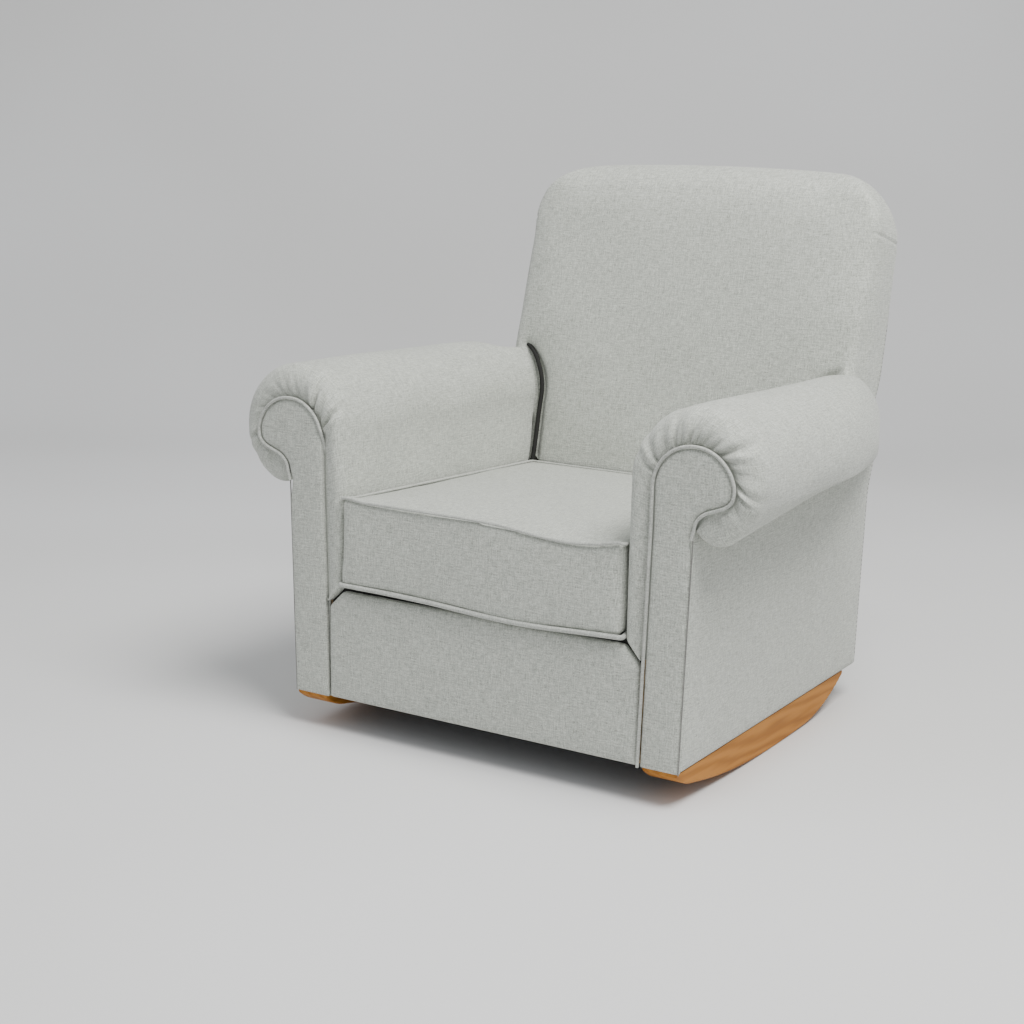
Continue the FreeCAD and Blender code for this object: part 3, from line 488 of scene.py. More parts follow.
def voxel_mesh(mesh, size, smooth_steps=0):
    """Even small faces all over a closed mesh."""
    piece = bpy.data.objects.new("remesh_blank", mesh)
    scene.collection.objects.link(piece)
    remesh = piece.modifiers.new("voxels", "REMESH")
    remesh.mode = "VOXEL"
    remesh.voxel_size = size
    if smooth_steps:
        smooth = piece.modifiers.new("soften", "SMOOTH")
        smooth.factor = 0.5
        smooth.iterations = smooth_steps
    made = evaluated_mesh(piece)
    bpy.data.objects.remove(piece)
    return made


def edge_distance(points, outline):
    """Distance of 2-D points from a closed outline."""
    nearest = np.full(len(points), 1e9)
    for start, end in zip(outline, np.roll(outline, -1, axis=0)):
        run = end - start
        share = np.clip(((points - start) @ run) / (run @ run), 0, 1)
        gap = np.linalg.norm(points - (start + share[:, None] * run), axis=1)
        nearest = np.minimum(nearest, gap)
    return nearest


def panel_mesh(name, outline, level_low, level_high, axis, facing, puff, roll_edge=0.0025,
               voxel=0.003, reach=0.03):
    """A padded panel: an outline given a thickness along an axis, puffed on its facing side."""
    others = [k for k in range(3) if k != axis]
    made = bmesh.new()
    loops = []
    for level_at in (level_low, level_high):
        ring = []
        for a, b in outline:
            spot = [0.0, 0.0, 0.0]
            spot[others[0]], spot[others[1]], spot[axis] = a, b, level_at
            ring.append(made.verts.new(spot))
        loops.append(ring)
    count = len(outline)
    for i in range(count):
        k = (i + 1) % count
        made.faces.new([loops[0][i], loops[0][k], loops[1][k], loops[1][i]])
    for ring in loops:
        edges = [made.edges.get((ring[i], ring[(i + 1) % count])) for i in range(count)]
        bmesh.ops.triangle_fill(made, edges=edges, use_beauty=True)
    mesh = voxel_mesh(finished_mesh(name, made), voxel, 2)
    mesh.name = name
    coords = points_of(mesh)
    gap = edge_distance(coords[:, others], np.array(outline))
    middle = (level_low + level_high) / 2
    front = np.clip((coords[:, axis] - middle) / (level_high - level_low) * 2 * facing, 0, 1)
    swell = puff * (1 - np.exp(-gap / reach)) - roll_edge * np.exp(-gap / 0.004)
    coords[:, axis] += facing * front * swell
    set_points(mesh, coords)
    box_uv(mesh)
    return mesh


def smooth_step(value, low, high):
    share = np.clip((value - low) / (high - low), 0, 1)
    return share * share * (3 - 2 * share)


# %% [markdown]
# ## Welts and seams
# A welt is a cord in a bias strip of the same cloth, sewn into the seam. It follows a path, so
# Geometry Nodes make it: the tree turns a line of points into a curve, sweeps a small circle
# along it and sets the finish. The same tree with a tiny radius and a dark finish makes the
# sunken line of a plain seam; that dark line is painted seam shadow.


# %% A tree that sweeps a welt along a path
def group_with(name, inputs):
    """A Geometry Nodes tree with a geometry socket in and out, and named inputs."""
    tree = bpy.data.node_groups.new(name, "GeometryNodeTree")
    tree.interface.new_socket("Geometry", in_out="INPUT", socket_type="NodeSocketGeometry")
    for label, kind, value in inputs:
        socket = tree.interface.new_socket(label, in_out="INPUT", socket_type=kind)
        if value is not None:
            socket.default_value = value
    tree.interface.new_socket("Geometry", in_out="OUTPUT", socket_type="NodeSocketGeometry")
    return tree, tree.nodes.new("NodeGroupInput"), tree.nodes.new("NodeGroupOutput")


def set_inputs(modifier, tree, values):
    for item in tree.interface.items_tree:
        if item.item_type == "SOCKET" and item.in_out == "INPUT" and item.name in values:
            modifier[item.identifier] = values[item.name]


def welt_tree():
    tree, source, target = group_with("welt_along_path", [
        ("Radius", "NodeSocketFloat", 0.004), ("Spacing", "NodeSocketFloat", 0.004),
        ("Sides", "NodeSocketInt", 12), ("Finish", "NodeSocketMaterial", None)])
    line = tree.nodes.new("GeometryNodeMeshToCurve")
    even = tree.nodes.new("GeometryNodeResampleCurve")
    even.mode = "LENGTH"
    ring = tree.nodes.new("GeometryNodeCurvePrimitiveCircle")
    sweep = tree.nodes.new("GeometryNodeCurveToMesh")
    sweep.inputs["Fill Caps"].default_value = True
    real = tree.nodes.new("GeometryNodeRealizeInstances")
    finish = tree.nodes.new("GeometryNodeSetMaterial")
    link = tree.links.new
    link(source.outputs["Geometry"], line.inputs[0])
    link(line.outputs[0], even.inputs["Curve"])
    link(source.outputs["Spacing"], even.inputs["Length"])
    link(source.outputs["Radius"], ring.inputs["Radius"])
    link(source.outputs["Sides"], ring.inputs["Resolution"])
    link(even.outputs[0], sweep.inputs["Curve"])
    link(ring.outputs[0], sweep.inputs["Profile Curve"])
    link(sweep.outputs[0], real.inputs[0])
    link(real.outputs[0], finish.inputs["Geometry"])
    link(source.outputs["Finish"], finish.inputs["Material"])
    link(finish.outputs[0], target.inputs[0])
    return tree


WELT_TREE = welt_tree()


def along_path(name, tree, points, values, finish, body, closed=False, smooth=True):
    """Run a tree on a line of points and keep what it makes as one piece."""
    mesh = bpy.data.meshes.new(name + "_path")
    edges = [(i, i + 1) for i in range(len(points) - 1)]
    if closed:
        edges.append((len(points) - 1, 0))
    mesh.from_pydata([tuple(map(float, spot)) for spot in points], edges, [])
    path = bpy.data.objects.new(name + "_path", mesh)
    scene.collection.objects.link(path)
    modifier = path.modifiers.new("repeat", "NODES")
    modifier.node_group = tree
    set_inputs(modifier, tree, dict(values, Finish=finish))
    made = evaluated_mesh(path)
    bpy.data.objects.remove(path)
    made.name = name
    box_uv(made)
    return add_object(name, made, finish, body, smooth)


def welt(name, points, radius, finish, body, closed=False, spacing=0.004):
    """A round welt through a list of points."""
    sizes = {"Radius": radius, "Spacing": spacing}
    return along_path(name, WELT_TREE, points, sizes, finish, body, closed)


# %% [markdown]
# ## Arm facings
# The facing is the flat panel on the front of each arm: a straight leg that grows into a
# scroll head. It is a board with a thin pad under the cloth, so it is nearly flat, with a
# slight swell and soft edges. Its outline stands a few millimetres outside the facing board.

# %% Facing outline
board_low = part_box("facing_board_right")[0]
SCROLL_X = 0.3885
SCROLL_Z = 0.516
SCROLL_R = 0.0727
BASE_Z = board_low.z
FRONT_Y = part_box("arm_facing_right")[0].y
LEG_IN = board_low.x
LEG_OUT = 0.381
END_ANGLE = math.radians(8.0)


def leg_inner_x(z):
    """The leg's inner edge leans outwards a little as it rises."""
    return LEG_IN + (SCROLL_X - SCROLL_R - LEG_IN) * np.clip((z - BASE_Z) / 0.40, 0, 1)


UNDER_LINE = ((0.4600, 0.5190), (0.4565, 0.5060), (0.4457, 0.4952), (0.4313, 0.4888),
              (0.4140, 0.4822), (0.4035, 0.4746), (0.3980, 0.4660), (0.3955, 0.4550),
              (0.3915, 0.4400))


def smooth_line(points, per_span=6):
    """A soft curve through points."""
    points = np.array(points, dtype=float)
    ends = np.vstack([2 * points[0] - points[1], points, 2 * points[-1] - points[-2]])
    spots = []
    for i in range(len(points) - 1):
        a, b, c, d = ends[i:i + 4]
        for t in np.linspace(0, 1, per_span, endpoint=False):
            spots.append(0.5 * (2 * b + (c - a) * t + (2 * a - 5 * b + 4 * c - d) * t * t
                                + (3 * b - a - 3 * c + d) * t ** 3))
    spots.append(points[-1])
    return np.array(spots)


def drawn_in(line, inset):
    """Shift an open line to its right-hand side by an inset."""
    run = np.gradient(line, axis=0)
    run /= np.linalg.norm(run, axis=1)[:, None]
    return line + inset * np.stack([run[:, 1], -run[:, 0]], axis=1)


def inner_edge():
    """The leg's inner edge, from the floor up to the scroll."""
    return [(leg_inner_x(z), z) for z in np.linspace(BASE_Z, SCROLL_Z, 16)]


def scroll_edge(count=60):
    """The scroll, clockwise from the leg round to its underside."""
    angles = np.linspace(math.pi, END_ANGLE, count)[1:]
    return [(SCROLL_X + SCROLL_R * math.cos(a), SCROLL_Z + SCROLL_R * math.sin(a)) for a in angles]


def outer_edge():
    """The leg's outer edge, from the throat down to the floor."""
    top_x, top_z = UNDER_LINE[-1]
    return [(LEG_OUT + (top_x - LEG_OUT) * (z - BASE_Z) / (top_z - BASE_Z), z)
            for z in np.linspace(top_z, BASE_Z, 12)]


def welt_line(inset):
    """The welted part of the facing's edge, up the leg, round the scroll, into the throat."""
    line = np.array(inner_edge() + scroll_edge() + list(smooth_line(UNDER_LINE)[1:]))
    return drawn_in(line, inset)


def facing_line(inset, seam_inset, leg_inset):
    """The facing's whole outline; the outer seam and the leg's inner edge have own insets."""
    edge = welt_line(0.0)
    on_leg = (1 - smooth_step(edge[:, 1], 0.485, 0.535)) * (edge[:, 0] < SCROLL_X - 0.03)
    mixed = inset + (leg_inset - inset) * on_leg
    line = [tuple(spot) for spot in drawn_in(edge, mixed[:, None])]
    down = drawn_in(np.array(outer_edge()), seam_inset)[1:]
    return line + [tuple(spot) for spot in down]


def mirror_x(spots, side):
    """Points of the right-hand piece, or their mirror image for the left."""
    return [(side * p[0], *p[1:]) for p in spots]


# %% Facing panels and their welts
WELT_R = 0.0027
for side_name, side in SIDES:
    leg_inset = 0.0030 if side < 0 else 0.0070
    outline = mirror_x(facing_line(0.0070, 0.0018, leg_inset), side)
    mesh = panel_mesh(f"arm_facing_panel_{side_name}", outline, FRONT_Y + 0.001,
                      FRONT_Y + 0.012, 1, -1, 0.0020, roll_edge=0.0030, voxel=0.0024, reach=0.02)
    panel = add_object(f"arm_facing_panel_{side_name}", mesh, cloth, CHAIR)
    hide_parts(f"arm_facing_{side_name}", f"facing_board_{side_name}")
    line = welt_line(0.0036)
    sunk = 0.0130 if side < 0 else 0.0
    rise = 1 - smooth_step(line[:, 1], 0.490, 0.540) * (line[:, 0] < SCROLL_X)
    rise *= line[:, 0] < SCROLL_X - 0.03
    path = [(side * x, FRONT_Y + 0.0014 + sunk * low, z) for (x, z), low in zip(line, rise)]
    cord = welt(f"arm_facing_welt_{side_name}", path, WELT_R, piping_cloth, CHAIR)
    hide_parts(f"arm_welt_{side_name}")
    # A thin dark cord along the facing's outer seam: painted seam shadow.
    down = drawn_in(np.array(outer_edge()), 0.0006)
    path = [(side * x, FRONT_Y + (0.0030 if side > 0 else 0.0060), z) for x, z in down]
    welt(f"arm_side_seam_{side_name}", path, 0.0011, thread_and_seam_shadow, CHAIR, spacing=0.01)
    print(panel.name, len(mesh.polygons), "faces; welt", len(cord.data.polygons))

# %% [markdown]
# ## Arm covers
# One piece of cloth covers each arm. It starts low beside the seat, rises up the inside, goes
# over the roll and tucks in under it. At the front it turns over a soft edge and is sewn to
# the facing's welt. Round the scroll there is more cloth than edge, so it is gathered there in
# small pleats. The cover is a grid: rows follow the arm's section, columns run from the welt,
# over the front edge and back along the arm. Pleats are creases pushed in along the surface
# normal, deepest at the welt and fading with distance.

# %% The arm's section
FACE_Y = FRONT_Y + 0.002
LEG_STEPS, SCROLL_STEPS, TONGUE_STEPS, INNER_STEPS = 70, 190, 60, 10
BACK_SLOPE = math.tan(math.radians(15.8))
BACK_Y, BACK_Z = 0.2715, 0.680
LOW_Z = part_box("inside_arm_right")[0].z
INNER_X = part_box("inside_arm_right")[0].x
roll_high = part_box("arm_roll_right")[1]
ROLL_R = 0.109
ROLL_X = roll_high.x - 0.104
ROLL_END = roll_high.y


def edge_line():
    """Where the cover meets the welt: (x, z) for every row."""
    rows = []
    for share in np.linspace(0, 1, LEG_STEPS, endpoint=False):
        z = LOW_Z + share * (SCROLL_Z - LOW_Z)
        rows.append((leg_inner_x(z) + 0.001, z))
    for angle in np.linspace(math.pi, END_ANGLE, SCROLL_STEPS):
        rows.append((SCROLL_X + SCROLL_R * math.cos(angle) * 0.985,
                     SCROLL_Z + SCROLL_R * math.sin(angle) * 0.985))
    under = smooth_line(UNDER_LINE[:8], 12)
    spans = np.linalg.norm(np.diff(under, axis=0), axis=1)
    stops = np.concatenate([[0], np.cumsum(spans)]) / spans.sum()
    for share in np.linspace(0, 1, TONGUE_STEPS + 1)[1:]:
        rows.append((np.interp(share, stops, under[:, 0]),
                     np.interp(share, stops, under[:, 1]) + 0.0005))
    return np.array(rows)


def bezier(points, share):
    a, b, c, d = (np.array(p) for p in points)
    s = 1 - share
    return s ** 3 * a + 3 * s * s * share * b + 3 * s * share ** 2 * c + share ** 3 * d


def section(depth, shift):
    """The cover's outer section at a depth from 0, front, to 1, rear: (x, z) for every row."""
    roll_x = ROLL_X + shift
    centre_z = 0.532 - 0.011 * depth
    radius = ROLL_R - 0.003 * depth
    bottom = 0.431 + 0.067 * depth ** 0.9
    rows = []
    for share in np.linspace(0, 1, LEG_STEPS, endpoint=False):
        z = LOW_Z + share * (centre_z - LOW_Z)
        cut = 0.030 * max(0.0, 1 - (z - LOW_Z) / 0.030) ** 1.3
        lean = (roll_x - radius - INNER_X) * smooth_step(z, 0.40, centre_z)
        rows.append((INNER_X + cut + lean, z))
    for angle in np.linspace(math.pi, math.radians(-22), SCROLL_STEPS):
        rows.append((roll_x + radius * math.cos(angle), centre_z + radius * math.sin(angle)))
    start = rows[-1]
    drop = start[1] - bottom
    bend = [start, (start[0] - 0.012, start[1] - 0.45 * drop), (0.448, bottom - 0.003),
            (0.419, bottom)]
    curl = [(0.419, bottom), (0.406, bottom + 0.001), (0.3975, bottom + 0.009),
            (0.3965, bottom + 0.025)]
    turn = int(TONGUE_STEPS * 0.7)
    for step in range(1, turn + 1):
        rows.append(tuple(bezier(bend, step / turn)))
    for step in range(1, TONGUE_STEPS - turn + 1):
        rows.append(tuple(bezier(curl, step / (TONGUE_STEPS - turn))))
    return np.array(rows)


def closing_rows(start, end):
    """Hidden inner rows that close the section."""
    stops = np.array([end, (0.372, 0.44), (0.372, 0.26), (0.314, LOW_Z + 0.002), start])
    shares = np.linspace(0, 1, INNER_STEPS + 2)[1:-1] * (len(stops) - 1)
    rows = [stops[int(s)] + (stops[int(s) + 1] - stops[int(s)]) * (s - int(s)) for s in shares]
    return np.array(rows)


# %% Pleats, seen from the front of the right arm
# Each pleat: angle round the scroll in degrees (0 outwards, 90 up), depth and reach in metres,
# and the half-width of its crease.
RIGHT_PLEATS = [(163, 0.0030, 0.050, 0.0028), (150, 0.0038, 0.055, 0.0030),
                (133, 0.0012, 0.030, 0.0030), (119, 0.0042, 0.060, 0.0026),
                (112, 0.0030, 0.040, 0.0022), (101, 0.0040, 0.060, 0.0026),
                (93, 0.0030, 0.045, 0.0022), (82, 0.0014, 0.030, 0.0025),
                (70, 0.0018, 0.028, 0.0022), (57, 0.0058, 0.062, 0.0030),
                (44, 0.0012, 0.030, 0.0030), (33, 0.0014, 0.030, 0.0026),
                (16, 0.0046, 0.050, 0.0026), (3, 0.0014, 0.030, 0.0026),
                (-10, 0.0018, 0.036, 0.0030)]
LEFT_PLEATS = [(161, 0.0080, 0.048, 0.0026), (133, 0.0090, 0.056, 0.0028),
               (104, 0.0014, 0.034, 0.0028), (92, 0.0012, 0.030, 0.0026),
               (80, 0.0014, 0.034, 0.0026), (62, 0.0012, 0.032, 0.0028),
               (40, 0.0010, 0.030, 0.0030), (8, 0.0030, 0.034, 0.0022),
               (-8, 0.0012, 0.030, 0.0026)]
TONGUE_PLEATS = [(0.18, 0.0042, 0.040, 0.0050), (0.52, 0.0030, 0.036, 0.0060)]


def pleat_rows(pleats):
    """Turn pleat angles into rows of the grid."""
    found = []
    sweep = math.pi - END_ANGLE
    for angle, depth, reach, width in pleats:
        row = LEG_STEPS + (math.pi - math.radians(angle)) / sweep * SCROLL_STEPS
        found.append((row, depth, reach, width))
    for share, depth, reach, width in TONGUE_PLEATS:
        found.append((LEG_STEPS + SCROLL_STEPS + share * TONGUE_STEPS, depth, reach, width))
    return found


def crease(distance, width):
    """A sharp valley with a soft ridge each side."""
    valley = np.exp(-(distance / width) ** 2)
    ridge = np.exp(-((np.abs(distance) - 2.3 * width) / (1.5 * width)) ** 2)
    return valley - 0.55 * ridge


def taper(grid):
    """Draw the roll in towards the chair's side near its rear end, like a rounded nose."""
    x, y, z = grid[:, :, 0], grid[:, :, 1], grid[:, :, 2]
    outer = np.clip((x - SCROLL_X) / 0.02, 0, 1)
    share = np.clip((y + 0.08) / (ROLL_END + 0.08), 0, 1) ** 1.9
    grid[:, :, 0] = x - outer * (x - SCROLL_X) * 0.86 * share
    late = np.clip((y - 0.14) / (ROLL_END - 0.14), 0, 1) ** 2
    beside = smooth_step(x, 0.335, 0.372)
    grid[:, :, 2] = z - beside * np.clip(z - 0.48, 0, 1) * 0.42 * late


# %% Build an arm cover
FRONT_COLUMNS, LONG_COLUMNS, END_COLUMNS = 26, 70, 12


def arm_cover(side_name, side, pleats, shift):
    edge = edge_line()
    count = len(edge)
    front = section(0.0, shift)
    rear_probe = section(1.0, shift)
    rise = np.clip((np.arange(count) - LEG_STEPS) / 40.0, 0, 1)
    tuck = np.clip((np.arange(count) - LEG_STEPS - SCROLL_STEPS) / 30.0, 0, 1)
    depth = 0.019 + 0.023 * rise - 0.014 * tuck
    bulge = 0.0045 * (1 - rise)
    back_y = BACK_Y + BACK_SLOPE * (front[:, 1] - BACK_Z) - 0.001
    past = smooth_step(front[:, 0], 0.345, 0.368)
    past[LEG_STEPS + SCROLL_STEPS:] = 1.0
    y_end = back_y + (ROLL_END - 0.002 - back_y) * past
    end_round = 0.016 + 0.018 * past
    columns = FRONT_COLUMNS + LONG_COLUMNS + END_COLUMNS
    grid = np.zeros((count, columns, 3))
    for j in range(FRONT_COLUMNS):
        angle = math.pi / 2 * (j / FRONT_COLUMNS)
        spot = edge + (front - edge) * math.sin(angle) ** 0.9
        lip = 0.008 * (1 - math.sin(angle)) ** 3
        grid[:, j, 0] = spot[:, 0]
        grid[:, j, 2] = spot[:, 1]
        ahead_of_face = bulge * math.sin(2 * angle) ** 2
        grid[:, j, 1] = FACE_Y + lip + depth * (1 - math.cos(angle)) - ahead_of_face
    length = y_end - end_round - (FACE_Y + depth)
    for j in range(LONG_COLUMNS):
        share = (j / (LONG_COLUMNS - 1)) ** 1.35
        spot = section(share, shift)
        grid[:, FRONT_COLUMNS + j, 0] = spot[:, 0]
        grid[:, FRONT_COLUMNS + j, 2] = spot[:, 1]
        grid[:, FRONT_COLUMNS + j, 1] = FACE_Y + depth + length * share
    middle = np.array((ROLL_X - 0.01, 0.50))
    inward = middle - rear_probe
    inward[:LEG_STEPS, 1] *= 0.1
    inward /= np.linalg.norm(inward, axis=1)[:, None]
    for j in range(END_COLUMNS):
        angle = math.pi / 2 * (j + 1) / END_COLUMNS
        pull = end_round * (1 - math.cos(angle))
        spot = rear_probe + inward * pull[:, None]
        place = FRONT_COLUMNS + LONG_COLUMNS + j
        grid[:, place, 0] = spot[:, 0]
        grid[:, place, 2] = spot[:, 1]
        grid[:, place, 1] = y_end - end_round + end_round * math.sin(angle)
    taper(grid)
    rows_along = np.linalg.norm(np.diff(grid, axis=1), axis=2)
    run = np.concatenate([np.zeros((count, 1)), np.cumsum(rows_along, axis=1)], axis=1)
    step = np.linalg.norm(np.gradient(grid, axis=0), axis=2)
    normal = np.cross(np.gradient(grid, axis=0), np.gradient(grid, axis=1))
    normal /= np.linalg.norm(normal, axis=2)[:, :, None] + 1e-12
    outward = grid[LEG_STEPS + SCROLL_STEPS // 2, FRONT_COLUMNS + 20] - np.array((ROLL_X, 0, 0.5))
    if normal[LEG_STEPS + SCROLL_STEPS // 2, FRONT_COLUMNS + 20] @ outward < 0:
        normal = -normal
    push = np.zeros((count, columns))
    index = np.arange(count)[:, None]
    for row, deep, reach, width in pleat_rows(pleats):
        distance = (index - row) * step
        widened = width * (1 + run / 0.03)
        fade = np.exp(-(run / reach) ** 2.2) * (0.55 + 0.45 * smooth_step(run, 0.0, 0.008))
        push -= deep * crease(distance, widened) * fade
    slow = 0.0012 * np.sin(index * 0.045 + 1.3) * np.sin(run * 9.0 + 0.6 * side)
    slow += 0.0010 * np.sin(index * 0.11 + 0.4) * np.sin(run * 23.0 + side)
    push += slow * smooth_step(run, 0.05, 0.14)
    grid += normal * push[:, :, None]
    profile_run = np.concatenate([[0], np.cumsum(np.linalg.norm(np.diff(front, axis=0), axis=1))])
    closing = closing_rows(front[0], front[-1])
    hidden = np.zeros((INNER_STEPS, columns, 3))
    hidden[:, :, 0] = closing[:, None, 0]
    hidden[:, :, 2] = closing[:, None, 1]
    hidden[:, :, 1] = np.linspace(0, 1, INNER_STEPS)[:, None] * (grid[0, :, 1] - grid[-1, :, 1])
    hidden[:, :, 1] += grid[-1, :, 1]
    whole = np.concatenate([grid, hidden], axis=0)
    rows_uv = np.concatenate([profile_run, profile_run[-1] + 0.01 * np.arange(1, INNER_STEPS + 1)])
    uv = np.zeros((len(whole), columns, 2))
    uv[:, :, 0] = np.concatenate([run, np.repeat(run[-1:], INNER_STEPS, axis=0)], axis=0)
    uv[:, :, 1] = rows_uv[:, None]
    whole[:, :, 0] *= side
    mesh = grid_mesh(f"arm_cover_{side_name}", whole, uv, close_rows=True, caps=True)
    cover = add_object(f"arm_cover_{side_name}", mesh, cloth, CHAIR)
    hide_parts(f"inside_arm_{side_name}", f"arm_roll_{side_name}")
    print(cover.name, len(mesh.polygons), "faces")
    return cover


arm_cover("left", -1.0, LEFT_PLEATS, 0.009)
arm_cover("right", 1.0, RIGHT_PLEATS, 0.0)

# %% [markdown]
# ## Outside arms and front border
# The outside arm is a plain panel from the facing to the back, tucked up under the roll. The
# front border closes the seat's front; its top corners are cut at an angle where the inside
# arms come down. Both are stretched over thin padding and swell only slightly.

# %% Outside arm panels and front border
side_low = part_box("outside_arm_right")[0]
rear_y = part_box("outside_back")[0].y
for side_name, side in SIDES:
    outline = [(FRONT_Y + 0.006, side_low.z), (rear_y + 0.003, side_low.z),
               (rear_y + 0.003, 0.400), (0.329, 0.476), (0.338, 0.515), (FRONT_Y + 0.03, 0.478),
               (FRONT_Y + 0.006, 0.460)]
    low_x, high_x = sorted((side * 0.3715, side * LEG_OUT))
    mesh = panel_mesh(f"outside_arm_panel_{side_name}", outline, low_x, high_x, 0, side, 0.0055,
                      roll_edge=0.003, voxel=0.0036, reach=0.05)
    coords = points_of(mesh)
    coords[:, 0] += side * 0.0085 * np.clip((coords[:, 2] - BASE_Z) / 0.40, 0, 1.1)
    set_points(mesh, coords)
    panel = add_object(f"outside_arm_panel_{side_name}", mesh, cloth, CHAIR)
    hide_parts(f"outside_arm_{side_name}")
    print(panel.name, len(mesh.polygons), "faces")

border_low, border_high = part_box("front_border")
cut = 0.030
half = border_high.x + 0.0012
top = border_high.z - 0.007
half_line = [(half, border_low.z), (half, top - cut), (half - 0.004, top - cut + 0.005),
             (half - cut + 0.004, top - 0.003), (half - cut - 0.002, top)]
outline = half_line + [(-x, z) for x, z in reversed(half_line)]
mesh = panel_mesh("front_border_panel", outline, border_low.y, border_high.y, 1, -1, 0.0035,
                  roll_edge=0.0045, voxel=0.0034, reach=0.04)
border_panel = add_object("front_border_panel", mesh, cloth, CHAIR)
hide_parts("front_border")
print("front border", len(mesh.polygons), "faces")

# %% [markdown]
# Behind the border's top edge a near-black strip, folded like a lining cloth over the front rail
# and a little way back over the deck, is painted shadow: it closes and darkens the gap under the
# cushion. A folded profile drawn out sideways is enough for it, because only its edge shows.

# %% Painted shadow strip behind the border
deck_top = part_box("deck_pad")[1].z
fold_front, fold_rear = border_low.y + 0.0120, border_high.y + 0.055
FOLD_THICK, FOLD_FALL, FOLD_FOOT = 0.0014, 0.0022, 0.200
fold_top = deck_top + 0.0016
strip_half = half - 0.0005
profile = [(fold_front, FOLD_FOOT), (fold_front, fold_top), (fold_rear, fold_top - FOLD_FALL),
           (fold_rear, fold_top - FOLD_FALL - FOLD_THICK),
           (fold_front + FOLD_THICK, fold_top - FOLD_THICK), (fold_front + FOLD_THICK, FOLD_FOOT)]
ends = [[(x, y, z) for y, z in profile] for x in (-strip_half, strip_half)]
mesh = ring_mesh("deck_gap_painted_shadow", ends)
box_uv(mesh)
strip = add_object("deck_gap_painted_shadow", mesh, painted_gap_shadow, CHAIR, smooth=False)
print("painted deck gap shadow", [round(value, 4) for value in strip.dimensions])


# %% [markdown]
# ## How the padding gets its shape
# Padding is made by letting a cloth simulation blow the cover up a little, because stuffed
# cloth never looks like a box with rounded edges. The seams are held still, gravity is off and
# a small pressure pushes outwards for twenty frames.
# The movement is then limited, the simulation is taken away and its shape kept.


# %% Cloth simulation for padding
def inflate(mesh, hold, pressure, limit, stiffness=12.0, bend=0.6, frames=20, keep=None):
    """Blow a closed mesh up with its held points fixed; returns the moved points."""
    before = points_of(mesh)
    piece = bpy.data.objects.new("padding_blank", mesh)
    scene.collection.objects.link(piece)
    held = piece.vertex_groups.new(name="held")
    for index in np.nonzero(hold > 0.01)[0]:
        held.add([int(index)], float(hold[index]), "REPLACE")
    physics = piece.modifiers.new("padding", "CLOTH")
    settings = physics.settings
    settings.quality = 5
    settings.mass = 0.3
    settings.tension_stiffness = stiffness
    settings.compression_stiffness = stiffness
    settings.shear_stiffness = stiffness * 0.5
    settings.bending_stiffness = bend
    settings.tension_damping = 12.0
    settings.compression_damping = 12.0
    settings.air_damping = 3.0
    settings.use_pressure = True
    settings.uniform_pressure_force = pressure
    settings.vertex_group_mass = "held"
    settings.effector_weights.gravity = 0.0
    physics.point_cache.frame_start = 1
    physics.point_cache.frame_end = frames
    for frame_number in range(1, frames + 1):
        scene.frame_set(frame_number)
    graph = bpy.context.evaluated_depsgraph_get()
    result = bpy.data.meshes.new_from_object(piece.evaluated_get(graph), depsgraph=graph)
    after = points_of(result)
    bpy.data.objects.remove(piece)
    scene.frame_set(1)
    move = after - before
    far = np.linalg.norm(move, axis=1)[:, None] + 1e-9
    allowed = limit if keep is None else limit * keep[:, None]
    return before + move / far * allowed * np.tanh(far / np.maximum(allowed, 1e-6))


def finer(mesh):
    """One smooth subdivision, applied."""
    piece = bpy.data.objects.new("finer_blank", mesh)
    scene.collection.objects.link(piece)
    subdivide = piece.modifiers.new("finer", "SUBSURF")
    subdivide.levels = 1
    subdivide.render_levels = 1
    made = evaluated_mesh(piece)
    bpy.data.objects.remove(piece)
    return made


def evened(mesh, values, steps):
    """Average values over neighbours, which takes out wrinkles firm padding would not show."""
    ends = np.empty(len(mesh.edges) * 2, dtype=np.int64)
    mesh.edges.foreach_get("vertices", ends)
    first, second = ends.reshape(-1, 2).T
    count = len(mesh.vertices)
    links = np.maximum(np.bincount(first, minlength=count) + np.bincount(second, minlength=count), 1)
    for _ in range(steps):
        total = np.bincount(first, values[second], count) + np.bincount(second, values[first], count)
        values = 0.4 * values + 0.6 * total / links
    return values


def puffed(mesh, hold, pressure, limit, steps, **options):
    """Inflate, keep only the outward part of the movement and even it out."""
    before = points_of(mesh)
    normals = vertex_normals(mesh)
    blown = inflate(mesh, hold, pressure, limit, **options)
    out = ((blown - before) * normals).sum(axis=1)
    return before + normals * evened(mesh, out, steps)[:, None]


def nearest_gap(points, path):
    """Distance from each point to the nearest point of a finely divided path."""
    tree = KDTree(len(path))
    for index, spot in enumerate(path):
        tree.insert(spot, index)
    tree.balance()
    return np.array([tree.find(spot)[2] for spot in points])


# %% [markdown]
# ## The back
# The back is one padded block that leans 15.8 degrees. Between the arms it is as wide as the
# seat; above them it spreads over their ends. Its front rises into a soft rounded top edge,
# the side is a boxing with one short seam near the top corner, and the rear is a flat panel.

# %% Back block
BACK_VOXEL = 0.006
LEAN = math.radians(15.8)
BACK_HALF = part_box("inside_back")[1].x + 0.009
NARROW_HALF = 0.302
V_LOW, V_TOP = -0.300, 0.312
TOP_CORNER, FRONT_ROUND, SIDE_ROUND, REAR_ROUND = 0.125, 0.060, 0.026, 0.012


def from_back(x, v, w):
    """Leaning frame of the back (v up the back, w rearwards) to the chair's frame."""
    y = BACK_Y + v * math.sin(LEAN) + w * math.cos(LEAN)
    z = BACK_Z + v * math.cos(LEAN) - w * math.sin(LEAN)
    return np.stack([x, y, z], axis=-1)


def to_back(points):
    y = points[:, 1] - BACK_Y
    z = points[:, 2] - BACK_Z
    v = y * math.sin(LEAN) + z * math.cos(LEAN)
    w = y * math.cos(LEAN) - z * math.sin(LEAN)
    return np.stack([points[:, 0], v, w], axis=-1)


